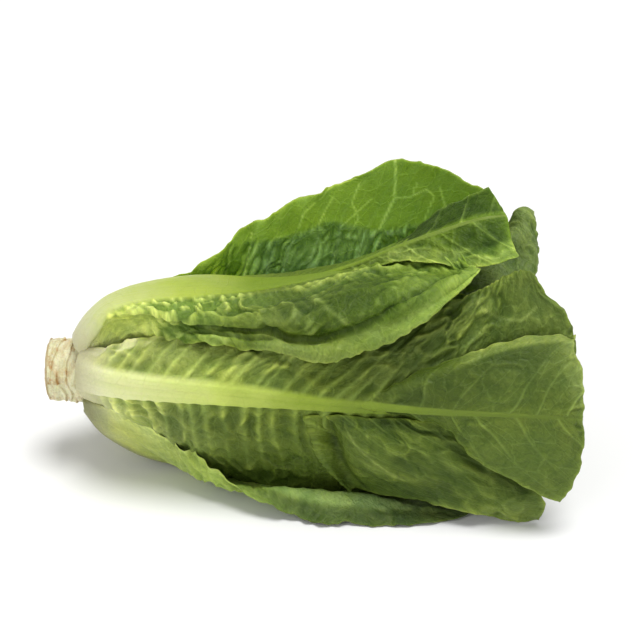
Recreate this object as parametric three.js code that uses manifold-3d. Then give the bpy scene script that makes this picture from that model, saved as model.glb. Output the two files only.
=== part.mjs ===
// A whole head of romaine lettuce lying on its side, stem to -X and leaf tips to +X, the floor at z = 0.
// Every leaf is its own solid: a thin closed shell drawn from a net of points, thicker along its midrib and at its base.
import * as THREE from 'three';
import Module from 'manifold-3d';

// ---- driving dimensions, in mm ----
const AXIS_Z = 54;            // height of the head's own axis above the floor
const SHIFT_X = -8.24;          // the net tables are drawn about the head's axis; this moves the middle of the footprint to the origin
const SHIFT_Y = -0.478;
const CLEAR = 0.45;           // air left between two pieces
const BLADE = 1.2;            // thickness of a leaf blade
const FLOOR = 0;

// Envelope radius of the inner bundle along X, and radius of the stem core along X.
const ENV_X = [-128, -115, -100, -80, -60, -30, 0, 40, 80, 110, 140];
const ENV_R = [20.5, 26, 33.5, 39.5, 43, 45, 46, 46, 45, 43, 40];
const CORE_X = [-149.5, -148.6, -146.8, -143, -137, -131, -126, -119, -111, -101, -91, -80, -69, -58, -50];
const CORE_R = [6, 12.5, 17.0, 17.7, 17.5, 18.2, 18.3, 17.6, 16.4, 14.6, 12.4, 9.6, 6.6, 3.8, 1.8];

// Midrib, along the leaf from base (0) to tip (1): how much it stands up from the blade, and its half width.
const RIB_U = [0, 0.08, 0.2, 0.35, 0.55, 0.8, 1];

// ---- nets of the outer leaves: rows run from base to tip, points in a row run across the leaf ----
const NETS = {
  'leaf_top_outer.main': [
   [[-127.0,-15.0,72.5], [-128.2,-14.0,73.2], [-128.8,-13.0,73.2], [-129.5,-12.0,73.9], [-129.8,-11.0,74.6], [-130.4,-9.0,74.7], [-131.1,-6.0,74.4], [-131.6,-1.0,73.6], [-128.0,7.5,72.5], [-128.0,11.8,70.2]],
   [[-120.4,-16.0,73.0], [-120.4,-19.0,78.8], [-120.3,-21.0,84.1], [-120.1,-22.5,87.2], [-121.2,-20.0,87.7], [-122.5,-16.5,88.0], [-123.8,-11.0,87.8], [-123.7,-1.0,86.3], [-119.0,12.2,81.4], [-119.0,18.6,76.2]],
   [[-108.8,-18.5,74.4], [-108.6,-23.0,85.7], [-108.6,-24.5,94.7], [-108.2,-29.5,99.9], [-108.8,-27.5,102.1], [-109.6,-23.5,102.4], [-110.5,-13.0,100.7], [-111.2,0.0,97.8], [-108.0,15.0,89.4], [-108.0,24.6,80.3]],
   [[-85.9,-26.5,82.8], [-85.8,-32.5,93.0], [-86.5,-31.5,100.6], [-86.2,-36.5,106.6], [-87.1,-32.5,107.7], [-88.2,-26.5,107.3], [-89.3,-12.0,106.0], [-90.0,4.0,103.6], [-90.0,17.2,96.7], [-90.0,30.8,84.8]],
   [[-57.5,-46.0,93.2], [-58.2,-47.5,98.5], [-59.0,-42.0,100.5], [-59.0,-45.5,107.7], [-60.1,-37.0,109.1], [-60.7,-28.0,109.2], [-61.3,-13.0,108.8], [-62.1,5.0,106.4], [-62.0,18.7,100.4], [-63.0,34.5,87.3]],
   [[-29.2,-54.0,94.0], [-30.1,-54.0,98.0], [-31.3,-48.5,101.3], [-31.6,-50.5,109.2], [-32.4,-41.0,111.7], [-32.3,-28.5,111.8], [-31.9,-15.0,109.8], [-31.0,3.0,106.4], [-31.0,19.3,101.7], [-33.0,35.7,89.7]],
   [[-3.5,-60.0,91.0], [-4.5,-60.0,96.1], [-5.5,-54.0,99.1], [-5.5,-55.0,109.8], [-5.0,-45.0,116.5], [-3.6,-30.0,117.1], [-2.1,-12.0,113.6], [-1.1,2.0,110.5], [-2.0,20.6,105.0], [-4.0,36.8,93.5]],
   [[16.4,-63.0,95.4], [15.9,-63.0,100.5], [15.5,-57.0,104.1], [15.8,-58.0,116.3], [17.0,-46.0,124.2], [18.4,-26.0,123.1], [19.4,-7.0,117.6], [20.8,5.0,116.7], [20.0,22.5,109.6], [18.0,35.7,99.7]],
   [[37.6,-63.0,105.0], [37.5,-63.0,108.9], [37.7,-58.0,112.4], [38.0,-57.0,123.0], [39.1,-40.0,127.5], [41.0,-23.0,123.9], [41.9,-4.0,127.2], [42.3,5.0,126.6], [42.0,22.5,119.2], [40.0,28.9,113.3]],
   [[54.8,-60.0,115.1], [55.2,-60.0,118.4], [55.8,-56.0,120.9], [56.8,-53.0,127.6], [59.2,-40.0,128.6], [61.4,-25.0,125.4], [60.8,-6.0,134.9], [60.7,0.0,135.7], [58.0,21.2,128.0], [57.0,25.3,123.5]],
   [[81.7,-43.0,133.9], [81.2,-42.5,133.9], [80.8,-42.0,133.9], [79.9,-41.0,133.7], [78.7,-38.0,132.6], [75.9,-31.0,130.5], [72.6,-22.0,131.9], [69.8,-17.0,134.2], [67.5,-14.0,135.1], [66.1,-12.0,135.3]]],
  'leaf_top_outer.fan': [
   [[-1.1,-9.0,111.0], [-0.5,-5.0,110.8], [0.0,-2.0,111.2], [-1.0,13.1,106.4], [-1.0,20.0,103.6]],
   [[20.8,-14.0,120.3], [20.9,-10.0,120.7], [21.0,-6.0,120.6], [22.0,14.8,113.2], [22.0,22.9,110.6]],
   [[43.2,-20.0,127.6], [42.4,-13.0,129.0], [41.6,-8.0,131.2], [42.7,3.0,128.6], [44.0,19.6,122.2]],
   [[67.2,-27.0,128.1], [64.7,-17.0,133.0], [62.0,-9.0,139.6], [60.7,2.0,140.5], [59.2,12.0,140.8]],
   [[86.2,-30.0,130.0], [83.7,-20.0,137.7], [81.2,-10.0,146.8], [77.3,0.0,149.8], [73.4,9.0,150.0]],
   [[101.7,-29.0,134.6], [98.9,-20.0,140.0], [94.9,-10.0,149.0], [91.8,-3.0,154.4], [87.1,4.0,159.3]]],
  'leaf_back_outer.main': [
   [[-128.0,14.1,69.6], [-128.0,15.8,67.8], [-128.0,17.8,65.1], [-128.0,19.7,61.2], [-128.0,21.0,54.7], [-128.0,20.4,48.9]],
   [[-116.0,24.7,78.7], [-116.0,28.0,76.7], [-116.0,31.3,72.8], [-116.0,34.5,65.9], [-116.0,35.9,51.5], [-116.0,31.5,40.0]],
   [[-98.0,32.6,87.8], [-98.0,37.3,84.2], [-98.0,41.6,79.0], [-98.0,45.9,69.8], [-98.0,47.5,47.3], [-98.0,39.4,29.4]],
   [[-75.9,26.0,98.5], [-74.6,33.0,90.3], [-74.6,40.0,76.3], [-70.0,51.9,75.0], [-70.0,55.1,44.3], [-70.0,42.9,20.4]],
   [[-54.6,42.0,108.2], [-51.6,44.0,98.1], [-50.0,47.0,82.4], [-45.0,54.3,77.1], [-45.0,57.7,41.7], [-45.0,42.4,15.9]],
   [[-29.2,58.0,122.6], [-26.0,56.0,107.5], [-24.0,54.0,87.2], [-18.0,57.1,78.2], [-18.0,59.9,40.2], [-18.0,42.1,13.4]],
   [[2.8,70.0,132.8], [4.5,65.0,114.7], [6.9,59.0,91.2], [12.0,58.9,80.2], [12.0,61.9,39.7], [12.0,42.1,11.9]],
   [[40.9,80.0,145.9], [37.7,73.0,120.6], [37.4,64.0,92.7], [48.0,60.7,82.3], [48.0,63.6,40.5], [46.0,44.6,13.9]],
   [[72.0,76.0,141.4], [68.6,71.0,117.1], [67.3,64.0,91.4], [80.0,60.6,84.9], [80.0,64.4,45.0], [72.0,49.7,20.4]],
   [[95.9,66.0,131.4], [94.7,66.0,111.2], [94.3,63.0,89.3], [104.0,58.6,86.5], [100.0,66.0,54.0], [90.0,56.6,28.8]],
   [[108.2,56.0,113.7], [110.5,60.0,101.4], [110.2,60.0,86.9], [116.0,58.3,85.0], [112.0,65.4,63.2], [104.0,62.6,40.7]]],
  'leaf_top_mid.main': [
   [[-124.0,-0.7,74.0], [-124.0,2.8,73.8], [-124.0,7.5,72.5], [-124.0,11.8,70.2], [-124.0,16.6,65.2], [-124.0,18.8,60.8]],
   [[-108.0,-1.1,86.0], [-108.0,5.2,86.6], [-108.0,12.9,84.4], [-108.0,19.9,80.4], [-108.0,28.6,70.5], [-108.0,31.3,60.7]],
   [[-84.0,-4.4,95.8], [-84.0,5.2,96.7], [-84.0,15.6,94.6], [-84.0,25.6,89.2], [-84.0,38.0,74.2], [-84.0,41.6,59.8]],
   [[-50.0,-11.2,99.1], [-50.0,2.5,101.4], [-50.0,16.1,98.2], [-50.0,28.3,91.5], [-50.0,41.9,75.3], [-50.0,45.9,57.2]],
   [[-10.0,-16.4,99.1], [-10.0,-0.0,103.0], [-10.0,16.0,100.3], [-10.0,29.4,94.5], [-10.0,44.1,77.5], [-10.0,48.8,58.3]],
   [[30.0,-15.8,102.5], [30.0,-0.0,107.0], [30.0,15.8,105.6], [30.0,30.8,99.6], [30.0,47.6,81.5], [28.0,52.5,61.4]],
   [[66.0,-15.7,108.8], [66.0,-0.0,114.0], [66.0,16.8,112.6], [66.0,31.8,104.9], [64.0,47.3,85.9], [60.0,52.4,67.1]],
   [[88.2,-20.0,110.5], [91.7,-2.0,119.3], [94.1,10.0,127.8], [95.0,34.4,109.1], [92.0,46.5,90.3], [84.0,51.7,72.8]],
   [[106.7,-18.0,110.1], [111.0,0.0,118.4], [111.7,16.0,129.9], [106.2,30.0,134.4], [106.0,45.3,94.8], [98.0,50.3,80.8]],
   [[112.0,-16.0,111.5], [117.1,2.0,117.5], [117.7,18.0,124.3], [115.1,32.0,133.5], [111.0,44.6,97.1], [105.0,49.2,84.7]]],
  'leaf_front_outer.main': [
   [[-129.4,-10.0,41.9], [-129.8,-15.0,48.5], [-129.3,-18.0,56.4], [-128.7,-19.0,63.1], [-128.3,-19.0,68.6], [-127.8,-17.0,72.3], [-127.0,-14.0,75.0]],
   [[-119.9,-19.0,42.7], [-121.3,-25.0,50.6], [-121.2,-29.0,59.0], [-121.1,-30.0,66.8], [-120.2,-29.0,72.8], [-118.8,-26.0,76.6], [-117.1,-22.0,79.2]],
   [[-103.3,-27.0,35.0], [-106.8,-35.0,48.4], [-107.8,-39.0,58.6], [-107.9,-41.0,69.4], [-107.2,-39.0,77.1], [-105.3,-35.0,82.0], [-103.7,-29.0,85.3]],
   [[-80.5,-34.0,24.2], [-87.2,-43.0,44.6], [-89.1,-47.0,59.7], [-89.5,-48.0,70.4], [-88.8,-46.0,78.6], [-86.8,-41.0,85.9], [-83.8,-32.0,92.8]],
   [[-56.7,-37.0,9.6], [-59.9,-48.0,35.4], [-60.2,-53.0,59.6], [-60.3,-54.0,70.8], [-59.0,-53.0,79.6], [-55.5,-46.0,90.3], [-49.5,-31.0,99.8]],
   [[-28.1,-39.0,0.6], [-29.9,-51.0,29.9], [-30.8,-57.0,58.4], [-30.5,-58.0,69.6], [-28.9,-57.0,78.9], [-21.8,-50.0,92.4], [-12.3,-33.0,104.3]],
   [[1.1,-41.0,-1.3], [0.0,-52.0,26.8], [-0.5,-58.0,55.4], [0.0,-60.0,67.2], [1.5,-59.0,76.0], [10.6,-51.0,91.8], [23.5,-33.0,108.9]],
   [[33.5,-41.0,-0.6], [31.6,-50.0,25.5], [30.3,-58.0,53.6], [30.5,-60.0,64.3], [33.5,-58.0,72.5], [43.0,-50.0,92.4], [56.2,-33.0,112.3]],
   [[64.8,-40.0,2.6], [63.5,-47.0,23.6], [62.1,-54.0,48.8], [62.0,-56.0,60.8], [64.8,-55.0,70.8], [72.3,-50.0,95.3], [80.9,-37.0,119.9]],
   [[92.5,-40.0,9.0], [94.2,-45.0,27.3], [94.9,-49.0,45.8], [95.7,-50.0,57.8], [97.4,-50.0,72.7], [101.2,-47.0,100.6], [96.5,-37.0,130.5]],
   [[111.7,-38.0,15.3], [115.7,-42.0,29.2], [118.4,-45.0,45.8], [124.1,-48.0,62.0], [130.5,-51.0,86.0], [123.6,-48.0,109.6], [107.4,-38.0,131.0]]],
  'leaf_front_outer.low': [
   [[-1.0,-55.0,58.4], [3.1,-53.0,44.6], [8.4,-50.0,29.2], [14.9,-47.5,17.6], [23.6,-44.5,6.2]],
   [[-6.1,-59.0,60.2], [-3.6,-61.0,48.8], [1.0,-60.5,34.6], [7.9,-57.5,21.6], [16.4,-53.5,9.6]],
   [[3.1,-58.5,59.9], [6.2,-57.5,48.5], [9.4,-57.0,36.1], [13.6,-55.5,22.8], [19.6,-53.0,10.5]],
   [[11.7,-61.5,61.0], [15.8,-66.0,50.1], [21.0,-67.0,37.5], [27.5,-64.0,23.4], [33.1,-60.0,10.2]],
   [[26.5,-62.0,60.2], [33.7,-66.5,48.0], [41.0,-69.0,34.0], [47.1,-68.5,21.4], [52.1,-67.0,11.1]],
   [[45.9,-62.0,59.0], [55.2,-66.0,45.9], [65.6,-70.5,32.5], [72.1,-72.0,20.7], [76.7,-73.0,9.0]],
   [[63.9,-60.0,57.2], [75.0,-63.0,42.3], [87.6,-68.0,28.4], [94.4,-73.0,17.0], [99.3,-69.9,1.2]],
   [[76.1,-57.0,54.2], [89.9,-60.0,39.2], [106.6,-66.0,24.7], [116.9,-72.0,14.5], [114.8,-70.8,1.2]]],
  'leaf_front_outer.flap': [
   [[17.8,-57.0,67.3], [18.3,-58.0,67.2], [18.8,-59.0,67.2], [19.3,-60.0,67.2], [20.3,-61.0,66.6], [20.8,-60.5,65.2], [21.4,-60.0,63.7], [21.9,-59.0,61.9]],
   [[36.6,-56.0,75.5], [36.9,-60.0,75.4], [37.9,-61.5,72.8], [38.9,-63.0,70.1], [40.0,-64.0,66.1], [40.6,-63.5,64.0], [41.2,-62.5,61.6], [41.8,-61.0,59.0]],
   [[55.1,-55.0,85.4], [55.2,-61.0,84.6], [57.2,-64.0,79.4], [59.3,-66.0,73.6], [60.5,-67.0,66.6], [61.2,-66.5,63.4], [61.8,-66.0,60.2], [62.6,-64.0,56.0]],
   [[77.6,-53.5,94.3], [76.9,-61.5,92.9], [78.8,-66.0,86.3], [80.4,-69.0,77.7], [81.4,-70.0,67.0], [79.7,-70.5,59.4], [77.5,-71.0,52.0], [74.3,-70.0,44.2]],
   [[97.6,-51.5,100.1], [96.5,-61.5,98.6], [98.9,-67.0,90.3], [101.0,-71.0,80.0], [102.6,-73.0,67.3], [100.5,-75.0,56.2], [97.5,-76.5,45.3], [93.0,-77.0,33.7]],
   [[116.4,-49.0,102.2], [114.6,-60.0,99.5], [117.4,-66.0,90.8], [119.5,-70.5,80.2], [120.9,-74.0,67.3], [120.5,-77.0,53.3], [117.1,-79.5,39.5], [111.4,-81.0,24.8]],
   [[130.4,-45.0,99.5], [128.8,-56.0,97.3], [131.5,-62.0,89.8], [132.6,-67.5,78.5], [132.9,-72.0,65.5], [132.5,-76.0,50.4], [130.3,-79.0,34.4], [121.9,-80.5,20.2]]],
  'leaf_bottom_outer.main': [
   [[-128.0,10.5,35.8], [-128.0,2.9,33.2], [-128.0,-5.4,33.7], [-128.0,-12.0,36.8], [-128.0,-15.6,39.9], [-128.7,-14.0,43.6]],
   [[-117.0,18.5,26.6], [-117.0,5.9,20.5], [-117.0,-10.2,20.5], [-117.0,-20.9,27.2], [-116.3,-24.0,39.4], [-117.9,-25.0,45.6]],
   [[-101.0,25.3,19.2], [-101.0,9.3,10.5], [-101.0,-14.2,10.3], [-100.9,-29.0,26.1], [-99.3,-33.0,36.1], [-101.0,-33.0,44.2]],
   [[-80.0,28.8,14.4], [-80.0,12.7,3.3], [-80.0,-12.7,3.0], [-79.6,-36.0,16.6], [-80.1,-39.0,24.8], [-81.7,-40.0,33.5]],
   [[-52.0,30.0,12.7], [-52.0,12.3,0.8], [-52.0,-10.4,0.6], [-57.8,-45.0,9.7], [-59.3,-50.0,18.6], [-60.1,-49.0,25.5]],
   [[-26.0,29.3,12.2], [-26.0,12.3,0.6], [-26.0,-9.5,0.2], [-33.1,-49.0,6.0], [-36.8,-57.0,14.4], [-33.5,-64.0,11.6]],
   [[2.0,28.0,3.5], [2.0,6.0,0.4], [2.0,-22.0,0.4], [-5.3,-48.0,3.4], [-6.3,-57.0,12.6], [-9.4,-70.7,3.0]],
   [[30.0,30.0,4.0], [30.0,8.0,0.4], [30.0,-20.0,0.4], [21.4,-48.0,0.8], [20.1,-57.0,9.4], [18.7,-73.3,1.0]],
   [[60.0,26.0,4.0], [60.0,6.0,0.4], [60.0,-18.0,0.4], [49.3,-50.0,-2.3], [47.6,-58.0,4.4], [46.9,-72.4,1.0]],
   [[88.0,18.0,3.0], [86.0,4.0,0.4], [84.0,-16.0,0.4], [72.0,-54.0,-3.4], [70.8,-60.0,1.3], [72.2,-68.7,1.0]],
   [[98.0,6.0,2.0], [98.0,-2.0,1.0], [96.0,-16.0,1.0], [94.0,-32.0,1.0], [92.0,-46.0,1.0], [88.0,-58.0,1.0]]]
};

// ---- inner leaves: rolled about the axis, each one inside the last ----
// name, direction of its back (degrees: 0 front, 90 up, 180 back, 270 down), depth (1 outermost), x of base, x of tip, half width round the roll, opening of the tip, set-back of the margins
const ROLLED = [
  ['leaf_back_low', 212, 1.09, -124, 108, 72, 0.03, 26, 0.26, 0x93a45a, true],
  ['leaf_under_mid', 262, 1.02, -117, 112, 66, 0.0, 26, 0.26, 0x93a45a, false],
  ['leaf_mid_1', 40, 1, -121, 118, 66, 0.1, 26, 0.26, 0xa9b566, false],
  ['leaf_mid_2', 177.5, 0.9, -109, 115, 64, 0.1, 26, 0.26, 0xa9b566, false],
  ['leaf_mid_3', 315, 0.84, -105, 114, 62, 0, 26, 0.26, 0xa9b566, false],
  ['leaf_mid_4', 92.5, 0.78, -101, 117, 60, 0.22, 26, 0.26, 0xa9b566, false],
  ['leaf_mid_5', 230, 0.71, -97, 112, 58, 0.05, 26, 0.26, 0xa9b566, false],
  ['leaf_mid_6', 7.5, 0.64, -93, 110, 56, 0.1, 26, 0.26, 0xa9b566, false],
  ['leaf_heart_1', 145, 0.57, -88, 108, 52, 0.15, 20, 0.34, 0xc9c878, false],
  ['leaf_heart_2', 282.5, 0.5, -84, 105, 48, 0.08, 20, 0.34, 0xc9c878, false],
  ['leaf_heart_3', 60, 0.43, -79, 104, 44, 0.18, 20, 0.34, 0xc9c878, false],
  ['leaf_heart_4', 197.5, 0.36, -75, 100, 38, 0.12, 20, 0.34, 0xc9c878, false],
  ['leaf_heart_5', 335, 0.29, -71, 97, 32, 0.1, 20, 0.34, 0xc9c878, false],
  ['leaf_heart_6', 112.5, 0.22, -67, 92, 26, 0.15, 20, 0.34, 0xc9c878, false],
  ['leaf_heart_7', 250, 0.15, -63, 84, 20, 0.1, 20, 0.34, 0xc9c878, false],
  ['leaf_heart_8', 27.5, 0.08, -59, 74, 15, 0.1, 20, 0.34, 0xc9c878, false]
];

const clamp = (t, a, b) => Math.min(b, Math.max(a, t));
const ease = (t) => { t = clamp(t, 0, 1); return t * t * (3 - 2 * t); };
function interp(x, xs, ys) {
  if (x <= xs[0]) return ys[0];
  for (let i = 1; i < xs.length; i++) if (x <= xs[i]) return ys[i - 1] + (ys[i] - ys[i - 1]) * (x - xs[i - 1]) / (xs[i] - xs[i - 1]);
  return ys[ys.length - 1];
}
const ring = (x, r, deg) => { const a = deg * Math.PI / 180; return [x, -r * Math.cos(a), AXIS_Z + r * Math.sin(a)]; };
const env = (x) => interp(x, ENV_X, ENV_R);
const core = (x) => interp(x, [-147, -128, -112, -92, -72, -56, -45], [17.5, 18.5, 17, 13, 8, 3, 1]);

// The whole inner bundle is squeezed out of round together towards its tips, so its layers stay nested.
function warp(x, phi) {
  const a = phi * Math.PI / 180, k = ease((x + 60) / 150), w = (t) => 0.5 + 0.5 * Math.sin(t);
  return 1 - k * (0.10 * w(2 * a + 0.8 + x * 0.018) + 0.07 * w(3 * a - 1.1 - x * 0.03) + 0.035 * w(5 * a + 0.4 + x * 0.045));
}

function rolledNet(phi0, depth, xBase, xTip, half, flare, setBack, wBase) {
  const us = [0, 0.07, 0.16, 0.28, 0.42, 0.56, 0.70, 0.84, 1.0];
  const ws = [wBase, wBase * 1.12, wBase * 1.45, 0.56, 0.78, 0.93, 1.0, 0.90, 0.48];
  return us.map((u, k) => {
    const row = [], w = ws[k] * half;
    for (let j = 0; j < 7; j++) {
      const v = -1 + j / 3;
      const x = xBase + (xTip - xBase) * u - setBack * v * v * ease((u - 0.35) / 0.65);
      const s = ease((x - xBase + 2) / 34);
      let r = (core(x) + 2.6) * (1 - s) + (core(x) + (env(x) - core(x)) * depth + 0.8) * s;
      r *= 1 + flare * ease((x + 10) / 125);
      const phi = phi0 + v * w / Math.max(r, 9) * 180 / Math.PI;
      row.push(ring(x, r * warp(x, phi), phi));
    }
    return row;
  });
}

// ---- smooth surface through a net ----
const cr = (a, b, c, d, t) => 0.5 * (2 * b + (-a + c) * t + (2 * a - 5 * b + 4 * c - d) * t * t + (-a + 3 * b - 3 * c + d) * t * t * t);
function along(pts, s) {
  const n = pts.length, i = clamp(Math.floor(s), 0, n - 2), t = s - i;
  const p = (k) => k < 0 ? pts[0].map((q, m) => 2 * q - pts[1][m]) : k >= n ? pts[n - 1].map((q, m) => 2 * q - pts[n - 2][m]) : pts[k];
  const a = p(i - 1), b = p(i), c = p(i + 1), d = p(i + 2);
  return b.map((_, m) => cr(a[m], b[m], c[m], d[m], t));
}
function surface(net, nu, nv) {
  const rows = [];
  for (let i = 0; i < nu; i++) {
    const s = i * (net.length - 1) / (nu - 1);
    const row = net[0].map((_, j) => along(net.map((r) => r[j]), s));
    rows.push(Array.from({ length: nv }, (_, j) => along(row, j * (row.length - 1) / (nv - 1))));
  }
  return rows;
}
const sub = (a, b) => [a[0] - b[0], a[1] - b[1], a[2] - b[2]];
const len = (a) => Math.hypot(a[0], a[1], a[2]);
const unit = (a) => { const l = len(a) || 1; return [a[0] / l, a[1] / l, a[2] / l]; };
const cross = (a, b) => [a[1] * b[2] - a[2] * b[1], a[2] * b[0] - a[0] * b[2], a[0] * b[1] - a[1] * b[0]];

const wasm = await Module();
wasm.setup();

// A closed shell round a net. grow pushes every face outwards, for cutting clearance.
function shell(def, grow = 0) {
  const { net, nu, nv } = def;
  const S = surface(net, nu, nv), N = [];
  let side = 0;
  for (let i = 0; i < nu; i++) {
    N.push([]);
    for (let j = 0; j < nv; j++) {
      const a = S[Math.max(i - 1, 0)][j], b = S[Math.min(i + 1, nu - 1)][j];
      const c = S[i][Math.max(j - 1, 0)], d = S[i][Math.min(j + 1, nv - 1)];
      const n = unit(cross(sub(b, a), sub(d, c)));
      N[i].push(n);
      side += n[1] * S[i][j][1] + n[2] * (S[i][j][2] - AXIS_Z);
    }
  }
  side = Math.sign(side) || 1;
  const outer = [], inner = [];
  for (let i = 0; i < nu; i++) {
    const u = i / (nu - 1), at = [0];
    for (let j = 1; j < nv; j++) at.push(at[j - 1] + len(sub(S[i][j], S[i][j - 1])));
    let ribAt = 0;
    if (def.rib !== null) {
      const s = def.rib * (nv - 1) / (net[0].length - 1), k = clamp(Math.floor(s), 0, nv - 2);
      ribAt = at[k] + (at[k + 1] - at[k]) * (s - k);
    }
    outer.push([]); inner.push([]);
    for (let j = 0; j < nv; j++) {
      let p = S[i][j].slice();
      if (grow > 0) {
        if (i === 0) p = along([p, S[1][j]], -grow / Math.max(len(sub(S[1][j], p)), 0.5));
        if (i === nu - 1) p = along([S[nu - 2][j], p], 1 + grow / Math.max(len(sub(p, S[nu - 2][j])), 0.5));
        if (j === 0) p = p.map((q, m) => q - grow * unit(sub(S[i][1], S[i][0]))[m]);
        if (j === nv - 1) p = p.map((q, m) => q + grow * unit(sub(S[i][nv - 1], S[i][nv - 2]))[m]);
      }
      let bump = 0;
      if (def.rib !== null) {
        const d = (at[j] - ribAt) / (interp(u, RIB_U, def.ribHalf));
        bump = interp(u, RIB_U, def.ribRise) * Math.exp(-d * d);
      }
      const skin = 0.5 * BLADE + def.baseThick * (1 - ease(u / 0.16)) * 0.5;
      const o = skin + bump * def.ribOut + grow, q = skin + bump * (1 - def.ribOut) + grow;
      if (p[2] < FLOOR + 0.5 * BLADE) p[2] = FLOOR + 0.5 * BLADE - 0.02;
      const n = N[i][j].map((t) => t * side);
      const po = p.map((t, m) => t + n[m] * o), pi = p.map((t, m) => t - n[m] * q);
      if (grow === 0) for (const e of [po, pi]) e[2] = Math.max(e[2], FLOOR);
      outer[i].push(po); inner[i].push(pi);
    }
  }
  const pos = [], idx = [];
  for (const g of [outer, inner]) for (const r of g) for (const p of r) pos.push(p[0], p[1], p[2]);
  const O = (i, j) => i * nv + j, I = (i, j) => nu * nv + i * nv + j;
  for (let i = 0; i < nu - 1; i++) for (let j = 0; j < nv - 1; j++) {
    idx.push(O(i, j), O(i + 1, j), O(i + 1, j + 1), O(i, j), O(i + 1, j + 1), O(i, j + 1));
    idx.push(I(i, j), I(i + 1, j + 1), I(i + 1, j), I(i, j), I(i, j + 1), I(i + 1, j + 1));
  }
  const wall = (a, b, c, d) => idx.push(a, b, c, a, c, d);
  for (let i = 0; i < nu - 1; i++) {
    wall(O(i, 0), I(i, 0), I(i + 1, 0), O(i + 1, 0));
    wall(O(i, nv - 1), O(i + 1, nv - 1), I(i + 1, nv - 1), I(i, nv - 1));
  }
  for (let j = 0; j < nv - 1; j++) {
    wall(O(0, j), O(0, j + 1), I(0, j + 1), I(0, j));
    wall(O(nu - 1, j), I(nu - 1, j), I(nu - 1, j + 1), O(nu - 1, j + 1));
  }
  return solid(pos, idx);
}

function solid(pos, idx) {
  let vol = 0;
  for (let k = 0; k < idx.length; k += 3) {
    const [a, b, c] = [idx[k], idx[k + 1], idx[k + 2]].map((t) => [pos[3 * t], pos[3 * t + 1], pos[3 * t + 2]]);
    const n = cross(b, c);
    vol += a[0] * n[0] + a[1] * n[1] + a[2] * n[2];
  }
  const tri = new Uint32Array(idx);
  if (vol < 0) for (let k = 0; k < tri.length; k += 3) [tri[k + 1], tri[k + 2]] = [tri[k + 2], tri[k + 1]];
  return new wasm.Manifold(new wasm.Mesh({ numProp: 3, vertProperties: new Float32Array(pos), triVerts: tri }));
}

// Stem: a turned body lying along X, slightly out of round, its cut face a little domed.
function stem(grow = 0) {
  const n = 28, pos = [], idx = [];
  CORE_X.forEach((x, i) => {
    for (let k = 0; k < n; k++) {
      const a = 2 * Math.PI * k / n;
      const r = CORE_R[i] * (1 + 0.022 * Math.cos(2 * a + 0.6) + 0.012 * Math.cos(5 * a + x * 0.1)) + grow;
      pos.push(x + (i === 0 ? -grow : i === CORE_X.length - 1 ? grow : 0), -r * Math.cos(a), AXIS_Z + r * Math.sin(a));
    }
  });
  const m = CORE_X.length;
  for (let i = 0; i < m - 1; i++) for (let k = 0; k < n; k++) {
    const a = i * n + k, b = i * n + (k + 1) % n, c = a + n, d = b + n;
    idx.push(a, b, d, a, d, c);
  }
  pos.push(CORE_X[0] - grow, 0, AXIS_Z, CORE_X[m - 1] + grow, 0, AXIS_Z);
  for (let k = 0; k < n; k++) {
    idx.push(m * n, (k + 1) % n, k);
    idx.push(m * n + 1, (m - 1) * n + k, (m - 1) * n + (k + 1) % n);
  }
  return solid(pos, idx);
}

// ---- the pieces, outermost first: each later piece gives way to the earlier ones ----
const OUTER_RIB = { ribRise: [3.0, 4.4, 4.2, 3.0, 1.8, 0.8, 0.3], ribHalf: [16, 14, 10, 7.5, 5, 2.6, 1.6], ribOut: 0.3, baseThick: 1.6 };
const MID_RIB = { ribRise: [1.6, 2.2, 2.0, 1.5, 1.0, 0.5, 0.2], ribHalf: [10, 9, 7, 5.5, 4, 2.4, 1.5], ribOut: 0.6, baseThick: 0.6 };
const sheet = (key, nu, nv, rib, style = OUTER_RIB, extra = {}) => ({ net: NETS[key], nu, nv, rib, ...style, ...extra });
const PLAIN = { ribRise: [0, 0, 0, 0, 0, 0, 0], baseThick: 0 };

const pieces = [
  { name: 'leaf_front_outer', color: 0x84964a, sheets: [
    sheet('leaf_front_outer.main', 19, 13, 3),
    sheet('leaf_front_outer.low', 12, 8, null, OUTER_RIB, PLAIN),
    sheet('leaf_front_outer.flap', 12, 8, null, OUTER_RIB, PLAIN)] },
  { name: 'leaf_top_outer', color: 0xa3b163, sheets: [
    sheet('leaf_top_outer.main', 19, 15, 6, OUTER_RIB, { ribRise: [3, 4, 3.6, 2.6, 1.4, 0.4, 0] }),
    sheet('leaf_top_outer.fan', 10, 8, null, OUTER_RIB, PLAIN)] },
  { name: 'leaf_bottom_outer', color: 0x9cab58, sheets: [sheet('leaf_bottom_outer.main', 18, 11, 2, OUTER_RIB, { ribRise: [1.8, 2.2, 1.6, 1.0, 0.6, 0.3, 0.1], ribOut: 0.8 })] },
  { name: 'leaf_back_outer', color: 0x6f8f32, sheets: [sheet('leaf_back_outer.main', 18, 10, 3, OUTER_RIB, { ribRise: [1.8, 2.6, 2.4, 1.8, 1.2, 0.6, 0.2], ribOut: 0.7 })] },
  { name: 'leaf_top_mid', color: 0x8b9a5c, sheets: [sheet('leaf_top_mid.main', 17, 9, 3, MID_RIB)] },
];
for (const [name, phi, depth, xb, xt, half, flare, setBack, wBase, color, big] of ROLLED)
  pieces.push({ name, color, sheets: [{ net: rolledNet(phi, depth, xb, xt, half, flare, setBack, wBase), nu: big ? 14 : 12, nv: big ? 9 : 7, rib: 3, ...(big ? OUTER_RIB : MID_RIB), ...(depth < 0.5 ? { ribHalf: MID_RIB.ribHalf.map((t) => t * 0.7) } : {}) }] });

const union = (list) => list.reduce((a, b) => a.add(b));
const group = new THREE.Group();
group.name = 'romaine_lettuce_head';

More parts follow.
